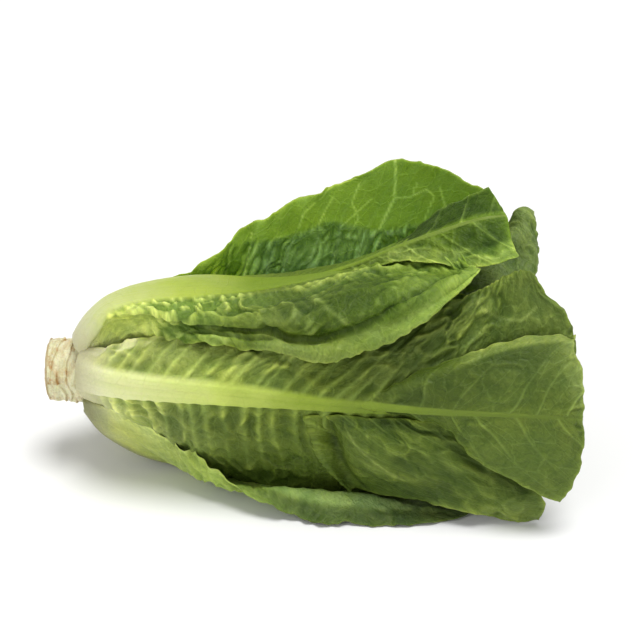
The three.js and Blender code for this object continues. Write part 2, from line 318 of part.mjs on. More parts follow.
function place(name, body, color, roughness) {
  const whole = body.decompose().sort((a, b) => b.volume() - a.volume())[0].simplify(0.03);
  const mesh = whole.getMesh();
  const geo = new THREE.BufferGeometry();
  const n = mesh.numProp, xyz = new Float32Array(mesh.vertProperties.length / n * 3);
  for (let i = 0; i < xyz.length / 3; i++) {
    xyz[3 * i] = mesh.vertProperties[n * i] - SHIFT_X;
    xyz[3 * i + 1] = mesh.vertProperties[n * i + 1] - SHIFT_Y;
    xyz[3 * i + 2] = mesh.vertProperties[n * i + 2];
  }
  geo.setAttribute('position', new THREE.BufferAttribute(xyz, 3));
  geo.setIndex(Array.from(mesh.triVerts));
  geo.computeVertexNormals();
  const m = new THREE.Mesh(geo, new THREE.MeshStandardMaterial({ color, roughness, metalness: 0, name }));
  m.name = name;
  group.add(m);
  return whole;
}

place('stem_butt', stem(), 0xd9cfa3, 0.7);
const taken = [stem(CLEAR)];
for (const p of pieces) {
  let body = union(p.sheets.map((s) => shell(s)));
  for (const t of taken) body = body.subtract(t);
  place(p.name, body, p.color, 0.5);
  for (const s of p.sheets) taken.push(shell(s, CLEAR));
}

export default group;
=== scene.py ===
import math
import bpy
import numpy as np
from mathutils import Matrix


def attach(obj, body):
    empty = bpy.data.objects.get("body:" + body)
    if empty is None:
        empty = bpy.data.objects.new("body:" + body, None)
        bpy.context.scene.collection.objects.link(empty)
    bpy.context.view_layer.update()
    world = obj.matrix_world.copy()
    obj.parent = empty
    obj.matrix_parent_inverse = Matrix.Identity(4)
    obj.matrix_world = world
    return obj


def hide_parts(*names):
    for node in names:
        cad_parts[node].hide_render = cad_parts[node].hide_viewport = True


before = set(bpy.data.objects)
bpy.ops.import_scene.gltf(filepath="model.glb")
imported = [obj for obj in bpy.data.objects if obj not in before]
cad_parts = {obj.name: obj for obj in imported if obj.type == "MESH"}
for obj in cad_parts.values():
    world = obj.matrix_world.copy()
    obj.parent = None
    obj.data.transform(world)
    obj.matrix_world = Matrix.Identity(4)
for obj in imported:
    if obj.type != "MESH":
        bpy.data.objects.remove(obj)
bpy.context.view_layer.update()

# ------------------------------------------------------------------ dimensions
# Millimetres about the head's own axis, as in the CAD; SHIFT moves them to the row frame.
AXIS_Z = 54.0
SHIFT = np.array([-8.24, -0.478, 0.0])
MM = 0.001

NETS = {
    'leaf_top_outer.main': [
   [[-127.0,-15.0,72.5], [-128.2,-14.0,73.2], [-128.8,-13.0,73.2], [-129.5,-12.0,73.9], [-129.8,-11.0,74.6], [-130.4,-9.0,74.7], [-131.1,-6.0,74.4], [-131.6,-1.0,73.6], [-128.0,7.5,72.5], [-128.0,11.8,70.2]],
   [[-120.4,-16.0,73.0], [-120.4,-19.0,78.8], [-120.3,-21.0,84.1], [-120.1,-22.5,87.2], [-121.2,-20.0,87.7], [-122.5,-16.5,88.0], [-123.8,-11.0,87.8], [-123.7,-1.0,86.3], [-119.0,12.2,81.4], [-119.0,18.6,76.2]],
   [[-108.8,-18.5,74.4], [-108.6,-23.0,85.7], [-108.6,-24.5,94.7], [-108.2,-29.5,99.9], [-108.8,-27.5,102.1], [-109.6,-23.5,102.4], [-110.5,-13.0,100.7], [-111.2,0.0,97.8], [-108.0,15.0,89.4], [-108.0,24.6,80.3]],
   [[-85.9,-26.5,82.8], [-85.8,-32.5,93.0], [-86.5,-31.5,100.6], [-86.2,-36.5,106.6], [-87.1,-32.5,107.7], [-88.2,-26.5,107.3], [-89.3,-12.0,106.0], [-90.0,4.0,103.6], [-90.0,17.2,96.7], [-90.0,30.8,84.8]],
   [[-57.5,-46.0,93.2], [-58.2,-47.5,98.5], [-59.0,-42.0,100.5], [-59.0,-45.5,107.7], [-60.1,-37.0,109.1], [-60.7,-28.0,109.2], [-61.3,-13.0,108.8], [-62.1,5.0,106.4], [-62.0,18.7,100.4], [-63.0,34.5,87.3]],
   [[-29.2,-54.0,94.0], [-30.1,-54.0,98.0], [-31.3,-48.5,101.3], [-31.6,-50.5,109.2], [-32.4,-41.0,111.7], [-32.3,-28.5,111.8], [-31.9,-15.0,109.8], [-31.0,3.0,106.4], [-31.0,19.3,101.7], [-33.0,35.7,89.7]],
   [[-3.5,-60.0,91.0], [-4.5,-60.0,96.1], [-5.5,-54.0,99.1], [-5.5,-55.0,109.8], [-5.0,-45.0,116.5], [-3.6,-30.0,117.1], [-2.1,-12.0,113.6], [-1.1,2.0,110.5], [-2.0,20.6,105.0], [-4.0,36.8,93.5]],
   [[16.4,-63.0,95.4], [15.9,-63.0,100.5], [15.5,-57.0,104.1], [15.8,-58.0,116.3], [17.0,-46.0,124.2], [18.4,-26.0,123.1], [19.4,-7.0,117.6], [20.8,5.0,116.7], [20.0,22.5,109.6], [18.0,35.7,99.7]],
   [[37.6,-63.0,105.0], [37.5,-63.0,108.9], [37.7,-58.0,112.4], [38.0,-57.0,123.0], [39.1,-40.0,127.5], [41.0,-23.0,123.9], [41.9,-4.0,127.2], [42.3,5.0,126.6], [42.0,22.5,119.2], [40.0,28.9,113.3]],
   [[54.8,-60.0,115.1], [55.2,-60.0,118.4], [55.8,-56.0,120.9], [56.8,-53.0,127.6], [59.2,-40.0,128.6], [61.4,-25.0,125.4], [60.8,-6.0,134.9], [60.7,0.0,135.7], [58.0,21.2,128.0], [57.0,25.3,123.5]],
   [[81.7,-43.0,133.9], [81.2,-42.5,133.9], [80.8,-42.0,133.9], [79.9,-41.0,133.7], [78.7,-38.0,132.6], [75.9,-31.0,130.5], [72.6,-22.0,131.9], [69.8,-17.0,134.2], [67.5,-14.0,135.1], [66.1,-12.0,135.3]]],
    'leaf_top_outer.fan': [
   [[-1.1,-9.0,111.0], [-0.5,-5.0,110.8], [0.0,-2.0,111.2], [-1.0,13.1,106.4], [-1.0,20.0,103.6]],
   [[20.8,-14.0,120.3], [20.9,-10.0,120.7], [21.0,-6.0,120.6], [22.0,14.8,113.2], [22.0,22.9,110.6]],
   [[43.2,-20.0,127.6], [42.4,-13.0,129.0], [41.6,-8.0,131.2], [42.7,3.0,128.6], [44.0,19.6,122.2]],
   [[67.2,-27.0,128.1], [64.7,-17.0,133.0], [62.0,-9.0,139.6], [60.7,2.0,140.5], [59.2,12.0,140.8]],
   [[86.2,-30.0,130.0], [83.7,-20.0,137.7], [81.2,-10.0,146.8], [77.3,0.0,149.8], [73.4,9.0,150.0]],
   [[101.7,-29.0,134.6], [98.9,-20.0,140.0], [94.9,-10.0,149.0], [91.8,-3.0,154.4], [87.1,4.0,159.3]]],
    'leaf_back_outer.main': [
   [[-128.0,14.1,69.6], [-128.0,15.8,67.8], [-128.0,17.8,65.1], [-128.0,19.7,61.2], [-128.0,21.0,54.7], [-128.0,20.4,48.9]],
   [[-116.0,24.7,78.7], [-116.0,28.0,76.7], [-116.0,31.3,72.8], [-116.0,34.5,65.9], [-116.0,35.9,51.5], [-116.0,31.5,40.0]],
   [[-98.0,32.6,87.8], [-98.0,37.3,84.2], [-98.0,41.6,79.0], [-98.0,45.9,69.8], [-98.0,47.5,47.3], [-98.0,39.4,29.4]],
   [[-75.9,26.0,98.5], [-74.6,33.0,90.3], [-74.6,40.0,76.3], [-70.0,51.9,75.0], [-70.0,55.1,44.3], [-70.0,42.9,20.4]],
   [[-54.6,42.0,108.2], [-51.6,44.0,98.1], [-50.0,47.0,82.4], [-45.0,54.3,77.1], [-45.0,57.7,41.7], [-45.0,42.4,15.9]],
   [[-29.2,58.0,122.6], [-26.0,56.0,107.5], [-24.0,54.0,87.2], [-18.0,57.1,78.2], [-18.0,59.9,40.2], [-18.0,42.1,13.4]],
   [[2.8,70.0,132.8], [4.5,65.0,114.7], [6.9,59.0,91.2], [12.0,58.9,80.2], [12.0,61.9,39.7], [12.0,42.1,11.9]],
   [[40.9,80.0,145.9], [37.7,73.0,120.6], [37.4,64.0,92.7], [48.0,60.7,82.3], [48.0,63.6,40.5], [46.0,44.6,13.9]],
   [[72.0,76.0,141.4], [68.6,71.0,117.1], [67.3,64.0,91.4], [80.0,60.6,84.9], [80.0,64.4,45.0], [72.0,49.7,20.4]],
   [[95.9,66.0,131.4], [94.7,66.0,111.2], [94.3,63.0,89.3], [104.0,58.6,86.5], [100.0,66.0,54.0], [90.0,56.6,28.8]],
   [[108.2,56.0,113.7], [110.5,60.0,101.4], [110.2,60.0,86.9], [116.0,58.3,85.0], [112.0,65.4,63.2], [104.0,62.6,40.7]]],
    'leaf_top_mid.main': [
   [[-124.0,-0.7,74.0], [-124.0,2.8,73.8], [-124.0,7.5,72.5], [-124.0,11.8,70.2], [-124.0,16.6,65.2], [-124.0,18.8,60.8]],
   [[-108.0,-1.1,86.0], [-108.0,5.2,86.6], [-108.0,12.9,84.4], [-108.0,19.9,80.4], [-108.0,28.6,70.5], [-108.0,31.3,60.7]],
   [[-84.0,-4.4,95.8], [-84.0,5.2,96.7], [-84.0,15.6,94.6], [-84.0,25.6,89.2], [-84.0,38.0,74.2], [-84.0,41.6,59.8]],
   [[-50.0,-11.2,99.1], [-50.0,2.5,101.4], [-50.0,16.1,98.2], [-50.0,28.3,91.5], [-50.0,41.9,75.3], [-50.0,45.9,57.2]],
   [[-10.0,-16.4,99.1], [-10.0,-0.0,103.0], [-10.0,16.0,100.3], [-10.0,29.4,94.5], [-10.0,44.1,77.5], [-10.0,48.8,58.3]],
   [[30.0,-15.8,102.5], [30.0,-0.0,107.0], [30.0,15.8,105.6], [30.0,30.8,99.6], [30.0,47.6,81.5], [28.0,52.5,61.4]],
   [[66.0,-15.7,108.8], [66.0,-0.0,114.0], [66.0,16.8,112.6], [66.0,31.8,104.9], [64.0,47.3,85.9], [60.0,52.4,67.1]],
   [[88.2,-20.0,110.5], [91.7,-2.0,119.3], [94.1,10.0,127.8], [95.0,34.4,109.1], [92.0,46.5,90.3], [84.0,51.7,72.8]],
   [[106.7,-18.0,110.1], [111.0,0.0,118.4], [111.7,16.0,129.9], [106.2,30.0,134.4], [106.0,45.3,94.8], [98.0,50.3,80.8]],
   [[112.0,-16.0,111.5], [117.1,2.0,117.5], [117.7,18.0,124.3], [115.1,32.0,133.5], [111.0,44.6,97.1], [105.0,49.2,84.7]]],
    'leaf_front_outer.main': [
   [[-129.4,-10.0,41.9], [-129.8,-15.0,48.5], [-129.3,-18.0,56.4], [-128.7,-19.0,63.1], [-128.3,-19.0,68.6], [-127.8,-17.0,72.3], [-127.0,-14.0,75.0]],
   [[-119.9,-19.0,42.7], [-121.3,-25.0,50.6], [-121.2,-29.0,59.0], [-121.1,-30.0,66.8], [-120.2,-29.0,72.8], [-118.8,-26.0,76.6], [-117.1,-22.0,79.2]],
   [[-103.3,-27.0,35.0], [-106.8,-35.0,48.4], [-107.8,-39.0,58.6], [-107.9,-41.0,69.4], [-107.2,-39.0,77.1], [-105.3,-35.0,82.0], [-103.7,-29.0,85.3]],
   [[-80.5,-34.0,24.2], [-87.2,-43.0,44.6], [-89.1,-47.0,59.7], [-89.5,-48.0,70.4], [-88.8,-46.0,78.6], [-86.8,-41.0,85.9], [-83.8,-32.0,92.8]],
   [[-56.7,-37.0,9.6], [-59.9,-48.0,35.4], [-60.2,-53.0,59.6], [-60.3,-54.0,70.8], [-59.0,-53.0,79.6], [-55.5,-46.0,90.3], [-49.5,-31.0,99.8]],
   [[-28.1,-39.0,0.6], [-29.9,-51.0,29.9], [-30.8,-57.0,58.4], [-30.5,-58.0,69.6], [-28.9,-57.0,78.9], [-21.8,-50.0,92.4], [-12.3,-33.0,104.3]],
   [[1.1,-41.0,-1.3], [0.0,-52.0,26.8], [-0.5,-58.0,55.4], [0.0,-60.0,67.2], [1.5,-59.0,76.0], [10.6,-51.0,91.8], [23.5,-33.0,108.9]],
   [[33.5,-41.0,-0.6], [31.6,-50.0,25.5], [30.3,-58.0,53.6], [30.5,-60.0,64.3], [33.5,-58.0,72.5], [43.0,-50.0,92.4], [56.2,-33.0,112.3]],
   [[64.8,-40.0,2.6], [63.5,-47.0,23.6], [62.1,-54.0,48.8], [62.0,-56.0,60.8], [64.8,-55.0,70.8], [72.3,-50.0,95.3], [80.9,-37.0,119.9]],
   [[92.5,-40.0,9.0], [94.2,-45.0,27.3], [94.9,-49.0,45.8], [95.7,-50.0,57.8], [97.4,-50.0,72.7], [101.2,-47.0,100.6], [96.5,-37.0,130.5]],
   [[111.7,-38.0,15.3], [115.7,-42.0,29.2], [118.4,-45.0,45.8], [124.1,-48.0,62.0], [130.5,-51.0,86.0], [123.6,-48.0,109.6], [107.4,-38.0,131.0]]],
    'leaf_front_outer.low': [
   [[-1.0,-55.0,58.4], [3.1,-53.0,44.6], [8.4,-50.0,29.2], [14.9,-47.5,17.6], [23.6,-44.5,6.2]],
   [[-6.1,-59.0,60.2], [-3.6,-61.0,48.8], [1.0,-60.5,34.6], [7.9,-57.5,21.6], [16.4,-53.5,9.6]],
   [[3.1,-58.5,59.9], [6.2,-57.5,48.5], [9.4,-57.0,36.1], [13.6,-55.5,22.8], [19.6,-53.0,10.5]],
   [[11.7,-61.5,61.0], [15.8,-66.0,50.1], [21.0,-67.0,37.5], [27.5,-64.0,23.4], [33.1,-60.0,10.2]],
   [[26.5,-62.0,60.2], [33.7,-66.5,48.0], [41.0,-69.0,34.0], [47.1,-68.5,21.4], [52.1,-67.0,11.1]],
   [[45.9,-62.0,59.0], [55.2,-66.0,45.9], [65.6,-70.5,32.5], [72.1,-72.0,20.7], [76.7,-73.0,9.0]],
   [[63.9,-60.0,57.2], [75.0,-63.0,42.3], [87.6,-68.0,28.4], [94.4,-73.0,17.0], [99.3,-69.9,1.2]],
   [[76.1,-57.0,54.2], [89.9,-60.0,39.2], [106.6,-66.0,24.7], [116.9,-72.0,14.5], [114.8,-70.8,1.2]]],
    'leaf_front_outer.flap': [
   [[17.8,-57.0,67.3], [18.3,-58.0,67.2], [18.8,-59.0,67.2], [19.3,-60.0,67.2], [20.3,-61.0,66.6], [20.8,-60.5,65.2], [21.4,-60.0,63.7], [21.9,-59.0,61.9]],
   [[36.6,-56.0,75.5], [36.9,-60.0,75.4], [37.9,-61.5,72.8], [38.9,-63.0,70.1], [40.0,-64.0,66.1], [40.6,-63.5,64.0], [41.2,-62.5,61.6], [41.8,-61.0,59.0]],
   [[55.1,-55.0,85.4], [55.2,-61.0,84.6], [57.2,-64.0,79.4], [59.3,-66.0,73.6], [60.5,-67.0,66.6], [61.2,-66.5,63.4], [61.8,-66.0,60.2], [62.6,-64.0,56.0]],
   [[77.6,-53.5,94.3], [76.9,-61.5,92.9], [78.8,-66.0,86.3], [80.4,-69.0,77.7], [81.4,-70.0,67.0], [79.7,-70.5,59.4], [77.5,-71.0,52.0], [74.3,-70.0,44.2]],
   [[97.6,-51.5,100.1], [96.5,-61.5,98.6], [98.9,-67.0,90.3], [101.0,-71.0,80.0], [102.6,-73.0,67.3], [100.5,-75.0,56.2], [97.5,-76.5,45.3], [93.0,-77.0,33.7]],
   [[116.4,-49.0,102.2], [114.6,-60.0,99.5], [117.4,-66.0,90.8], [119.5,-70.5,80.2], [120.9,-74.0,67.3], [120.5,-77.0,53.3], [117.1,-79.5,39.5], [111.4,-81.0,24.8]],
   [[130.4,-45.0,99.5], [128.8,-56.0,97.3], [131.5,-62.0,89.8], [132.6,-67.5,78.5], [132.9,-72.0,65.5], [132.5,-76.0,50.4], [130.3,-79.0,34.4], [121.9,-80.5,20.2]]],
    'leaf_bottom_outer.main': [
   [[-128.0,10.5,35.8], [-128.0,2.9,33.2], [-128.0,-5.4,33.7], [-128.0,-12.0,36.8], [-128.0,-15.6,39.9], [-128.7,-14.0,43.6]],
   [[-117.0,18.5,26.6], [-117.0,5.9,20.5], [-117.0,-10.2,20.5], [-117.0,-20.9,27.2], [-116.3,-24.0,39.4], [-117.9,-25.0,45.6]],
   [[-101.0,25.3,19.2], [-101.0,9.3,10.5], [-101.0,-14.2,10.3], [-100.9,-29.0,26.1], [-99.3,-33.0,36.1], [-101.0,-33.0,44.2]],
   [[-80.0,28.8,14.4], [-80.0,12.7,3.3], [-80.0,-12.7,3.0], [-79.6,-36.0,16.6], [-80.1,-39.0,24.8], [-81.7,-40.0,33.5]],
   [[-52.0,30.0,12.7], [-52.0,12.3,0.8], [-52.0,-10.4,0.6], [-57.8,-45.0,9.7], [-59.3,-50.0,18.6], [-60.1,-49.0,25.5]],
   [[-26.0,29.3,12.2], [-26.0,12.3,0.6], [-26.0,-9.5,0.2], [-33.1,-49.0,6.0], [-36.8,-57.0,14.4], [-33.5,-64.0,11.6]],
   [[2.0,28.0,3.5], [2.0,6.0,0.4], [2.0,-22.0,0.4], [-5.3,-48.0,3.4], [-6.3,-57.0,12.6], [-9.4,-70.7,3.0]],
   [[30.0,30.0,4.0], [30.0,8.0,0.4], [30.0,-20.0,0.4], [21.4,-48.0,0.8], [20.1,-57.0,9.4], [18.7,-73.3,1.0]],
   [[60.0,26.0,4.0], [60.0,6.0,0.4], [60.0,-18.0,0.4], [49.3,-50.0,-2.3], [47.6,-58.0,4.4], [46.9,-72.4,1.0]],
   [[88.0,18.0,3.0], [86.0,4.0,0.4], [84.0,-16.0,0.4], [72.0,-54.0,-3.4], [70.8,-60.0,1.3], [72.2,-68.7,1.0]],
   [[98.0,6.0,2.0], [98.0,-2.0,1.0], [96.0,-16.0,1.0], [94.0,-32.0,1.0], [92.0,-46.0,1.0], [88.0,-58.0,1.0]]]
}

# name, direction of its back, depth, x of base, x of tip, half width, opening of the tip, set-back of the margins, base width
ROLLED = [
    ('leaf_back_low', 212, 1.09, -124, 108, 72, 0.03, 26, 0.26),
    ('leaf_under_mid', 262, 1.02, -117, 112, 66, 0.0, 26, 0.26),
    ('leaf_mid_1', 40, 1, -121, 118, 66, 0.1, 26, 0.26),
    ('leaf_mid_2', 177.5, 0.9, -109, 115, 64, 0.1, 26, 0.26),
    ('leaf_mid_3', 315, 0.84, -105, 114, 62, 0, 26, 0.26),
    ('leaf_mid_4', 92.5, 0.78, -101, 117, 60, 0.22, 26, 0.26),
    ('leaf_mid_5', 230, 0.71, -97, 112, 58, 0.05, 26, 0.26),
    ('leaf_mid_6', 7.5, 0.64, -93, 110, 56, 0.1, 26, 0.26),
    ('leaf_heart_1', 145, 0.57, -88, 108, 52, 0.15, 20, 0.34),
    ('leaf_heart_2', 282.5, 0.5, -84, 105, 48, 0.08, 20, 0.34),
    ('leaf_heart_3', 60, 0.43, -79, 104, 44, 0.18, 20, 0.34),
    ('leaf_heart_4', 197.5, 0.36, -75, 100, 38, 0.12, 20, 0.34),
    ('leaf_heart_5', 335, 0.29, -71, 97, 32, 0.1, 20, 0.34),
    ('leaf_heart_6', 112.5, 0.22, -67, 92, 26, 0.15, 20, 0.34),
    ('leaf_heart_7', 250, 0.15, -63, 84, 20, 0.1, 20, 0.34),
    ('leaf_heart_8', 27.5, 0.08, -59, 74, 15, 0.1, 20, 0.34)
]

# ------------------------------------------------------------------ numeric helpers
def ease(t):
    t = np.clip(t, 0.0, 1.0)
    return t * t * (3 - 2 * t)


def _rand(ix, iy, iz, seed):
    h = (ix.astype(np.int64) * 73856093) ^ (iy.astype(np.int64) * 19349663) ^ (iz.astype(np.int64) * 83492791) ^ (seed * 2654435761)
    h &= 0x7FFFFFFF
    h = ((h ^ (h >> 13)) * 1274126177) & 0x7FFFFFFF
    h = ((h ^ (h >> 15)) * 668265263) & 0x7FFFFFFF
    return ((h ^ (h >> 14)) & 0xFFFF) / 65535.0


def noise(x, y, z=0.0, seed=0):
    """Smooth value noise from -1 to 1."""
    x, y, z = np.broadcast_arrays(np.asarray(x, float), np.asarray(y, float), np.asarray(z, float))
    ix, iy, iz = np.floor(x).astype(int), np.floor(y).astype(int), np.floor(z).astype(int)
    fx, fy, fz = x - ix, y - iy, z - iz
    ux, uy, uz = [f * f * f * (f * (f * 6 - 15) + 10) for f in (fx, fy, fz)]
    out = 0.0
    for a in (0, 1):
        for b in (0, 1):
            for c in (0, 1):
                w = (ux if a else 1 - ux) * (uy if b else 1 - uy) * (uz if c else 1 - uz)
                out = out + w * _rand(ix + a, iy + b, iz + c, seed)
    return out * 2 - 1


def fractal(x, y, z=0.0, seed=0, octaves=3):
    out, amp, tot = 0.0, 1.0, 0.0
    for k in range(octaves):
        out = out + amp * noise(x * 2 ** k, y * 2 ** k, z * 2 ** k, seed + 31 * k)
        tot += amp
        amp *= 0.5
    return out / tot


def cells(x, y, seed=0):
    """Nearest and second nearest cell centre distances of a jittered grid."""
    ix, iy = np.floor(x).astype(int), np.floor(y).astype(int)
    f1 = np.full(x.shape, 9.0)
    f2 = np.full(x.shape, 9.0)
    zero = np.zeros_like(ix)
    for a in (-1, 0, 1):
        for b in (-1, 0, 1):
            cx = ix + a + 0.12 + 0.76 * _rand(ix + a, iy + b, zero, seed)
            cy = iy + b + 0.12 + 0.76 * _rand(ix + a, iy + b, zero, seed + 7)
            d = np.hypot(x - cx, y - cy)
            f2 = np.where(d < f1, f1, np.minimum(f2, d))
            f1 = np.minimum(f1, d)
    return f1, f2


def catmull(pts, t):
    pts = np.asarray(pts, float)
    n = len(pts)
    i = np.clip(np.floor(t).astype(int), 0, n - 2)
    f = (t - i).reshape((len(t),) + (1,) * (pts.ndim - 1))
    e = np.concatenate([[2 * pts[0] - pts[1]], pts, [2 * pts[-1] - pts[-2]]])
    a, b, c, d = e[i], e[i + 1], e[i + 2], e[i + 3]
    return 0.5 * (2 * b + (c - a) * f + (2 * a - 5 * b + 4 * c - d) * f * f + (3 * b - a - 3 * c + d) * f * f * f)


def spread(net, axis, n, weight=None):
    """Parameters along one side of a net, evenly spaced in millimetres."""
    d = np.linalg.norm(np.diff(net, axis=axis), axis=2).mean(1 - axis)
    d = d + 0.12 * d.mean()
    if weight is not None:
        d = d * np.asarray(weight, float)
    c = np.concatenate([[0.0], np.cumsum(d)])
    return np.interp(np.linspace(0, c[-1], n), c, np.arange(len(c)))


def surface(net, tu, tv):
    rows = catmull(net, tu)
    return np.swapaxes(catmull(np.swapaxes(rows, 0, 1), tv), 0, 1)


ENV_X = [-128, -115, -100, -80, -60, -30, 0, 40, 80, 110, 140]
ENV_R = [20.5, 26, 33.5, 39.5, 43, 45, 46, 46, 45, 43, 40]


def env(x):
    return np.interp(x, ENV_X, ENV_R)


def core(x):
    return np.interp(x, [-147, -128, -112, -92, -72, -56, -45], [17.5, 18.5, 17, 13, 8, 3, 1])


def warp(x, phi):
    a, k = np.radians(phi), ease((x + 60) / 150)
    w = lambda t: 0.5 + 0.5 * np.sin(t)
    return 1 - k * (0.10 * w(2 * a + 0.8 + x * 0.018) + 0.07 * w(3 * a - 1.1 - x * 0.03) + 0.035 * w(5 * a + 0.4 + x * 0.045))


def rolled_net(phi0, depth, x_base, x_tip, half, flare, set_back, w_base):
    us = [0, 0.07, 0.16, 0.28, 0.42, 0.56, 0.70, 0.84, 1.0]
    ws = [w_base, w_base * 1.12, w_base * 1.45, 0.56, 0.78, 0.93, 1.0, 0.90, 0.48]
    net = []
    for u, wk in zip(us, ws):
        v = np.linspace(-1, 1, 7)
        w = wk * half
        x = x_base + (x_tip - x_base) * u - set_back * v * v * ease((u - 0.35) / 0.65)
        s = ease((x - x_base + 2) / 34)
        r = (core(x) + 2.6) * (1 - s) + (core(x) + (env(x) - core(x)) * depth + 0.8) * s
        r = r * (1 + flare * ease((x + 10) / 125))
        phi = phi0 + np.degrees(v * w / np.maximum(r, 9))
        r = r * warp(x, phi)
        a = np.radians(phi)
        net.append(np.stack([x, -r * np.cos(a), AXIS_Z + r * np.sin(a)], -1))
    return np.array(net)


# ------------------------------------------------------------------ a leaf's fine surface
RIB_U = [0, 0.08, 0.2, 0.35, 0.55, 0.8, 1]


def leaf_mesh(name, net, rib, nu, nv, seed, look):
    """A thin closed leaf: midrib, side veins, blisters between them, ruffled and toothed margins."""
    net = np.asarray(net, float)
    tu, tv_ = spread(net, 0, nu), spread(net, 1, nv, look.get("col_weight"))
    S = surface(net, tu, tv_)
    step_v = np.linalg.norm(np.diff(S, axis=1), axis=2)
    step_u = np.linalg.norm(np.diff(S, axis=0), axis=2)
    across = np.concatenate([np.zeros((nu, 1)), np.cumsum(step_v, 1)], 1)
    down = np.concatenate([np.zeros((1, nv)), np.cumsum(step_u, 0)], 0)
    if rib is None:
        t = across + look.get("t0", 20.0)
        col = 0
    else:
        c = float(np.interp(rib, tv_, np.arange(nv)))
        k = int(np.clip(math.floor(c), 0, nv - 2))
        at = across[:, k] + (across[:, k + 1] - across[:, k]) * (c - k)
        t = across - at[:, None]
        col = int(round(c))
    s0 = look.get("s0", 0.0)
    spine = down[:, col] if rib is not None else down.mean(1)
    u = (spine / spine[-1])[:, None] * np.ones((1, nv))
    s = spine[:, None] * np.ones((1, nv)) + s0
    s = s + look.get("skew", 0.0) * t
    half = np.where(t >= 0, np.maximum(t[:, -1:], 1.0), np.maximum(-t[:, :1], 1.0))
    e_side = np.minimum(across, across[:, -1:] - across)
    e_tip = down[-1:, :] - down
    e = np.minimum(e_side, e_tip)
    e_all = np.minimum(e, down)
    g0, g1 = look.get("grown", (25, 70))
    grown = ease((down - g0) / (g1 - g0)) if look.get("young_base", True) else np.ones_like(s)
    near_edge, far_edge = across, across[:, -1:] - across

    # outline: lobes and small teeth along the margin
    tv = np.gradient(S, axis=1); tv /= np.linalg.norm(tv, axis=2, keepdims=True) + 1e-9
    tu = np.gradient(S, axis=0); tu /= np.linalg.norm(tu, axis=2, keepdims=True) + 1e-9
    sign = np.where(across < across[:, -1:] / 2, -1.0, 1.0)
    jag = look.get("jag", 1.0)
    tooth = lambda a, b: 1.5 * noise(a / 17, b, seed=seed) + 0.9 * noise(a / 6.5, b, seed=seed + 1) + 0.55 * noise(a / 2.6, b, seed=seed + 2) - 0.6
    S = S + tv * (sign * jag * grown * tooth(s, sign * 3.3) * np.exp(-(e_side / 5.0) ** 2))[..., None]
    for s_, h_, w_ in look.get("lobes", []):
        S = S - tv * (h_ * np.exp(-((s - s_) / w_) ** 2) * np.exp(-(near_edge / 7.0) ** 2))[..., None]
    S = S + tu * (jag * look.get("tip_jag", 1.0) * tooth(t, 9.1 + 0 * t) * np.exp(-(e_tip / 6.0) ** 2))[..., None]

    du, dv = np.gradient(S, axis=0), np.gradient(S, axis=1)
    N = np.cross(du, dv)
    N /= np.linalg.norm(N, axis=2, keepdims=True) + 1e-9
    out = np.stack([np.zeros_like(s), S[..., 1], S[..., 2] - AXIS_Z], -1)
    if np.sum(N * out) < 0:
        N = -N

    # side veins leave the rib and sweep towards the tip
    at_ = np.abs(t)
    side = np.where(t >= 0, 1, 0)
    va = np.where(t >= 0, look.get("vein_a", 0.75), look.get("vein_a2", look.get("vein_a", 0.75)))
    q = s - (va * at_ + look.get("vein_b", 0.006) * at_ ** 2)
    q = q + look.get("vein_wob", 2.6) * noise(s / 26, t / 22, seed=seed + 11) + 7.3 * side
    gap = look.get("vein_gap", 13.0)
    kq = np.floor(q / gap)
    dist = np.full(s.shape, 99.0)
    strength = np.ones(s.shape)
    zero = np.zeros(s.shape, int)
    for m in (-1, 0, 1):
        kk = (kq + m).astype(int)
        centre = (kk + 0.5 + 0.5 * (_rand(kk, side, zero, seed + 17) - 0.5)) * gap
        d = np.abs(q - centre) * 0.78
        near = d < dist
        strength = np.where(near, 0.55 + 0.45 * _rand(kk, side, zero, seed + 19), strength)
        dist = np.minimum(dist, d)
    low_side = np.where(t < 0, look.get("low", 1.0), 1.0)
    reach = np.exp(-at_ / (look.get("vein_reach", 26.0) * low_side))
    vw = look.get("vein_w", 0.6) + look.get("vein_wide", 1.0) * reach * low_side
    vein = np.exp(-(dist / vw) ** 2) * strength * np.clip(look.get("vein_far", 0.22) + 1.15 * reach, 0, 1)
    valley = low_side * (1 - np.exp(-(dist / (1.8 * vw)) ** 2)) * np.exp(-(at_ / (look.get("valley_reach", 30.0) * low_side)) ** 2)

    # soft blisters drawn out along the side veins
    cs = look.get("cell", 7.5)
    wx, wy = noise(s / 11, t / 11, seed=seed + 3), noise(s / 11, t / 11, seed=seed + 4)
    f1, f2 = cells((s + (q - s) * look.get("shear", 1.0)) / cs + 0.7 * wx, t / (cs * look.get("stretch", 1.8)) + 0.7 * wy, seed + 23)
    dome = np.clip((f2 - f1) * 1.25, 0, 1)
    dome = dome * dome * (3 - 2 * dome) * 0.5 + dome * 0.5
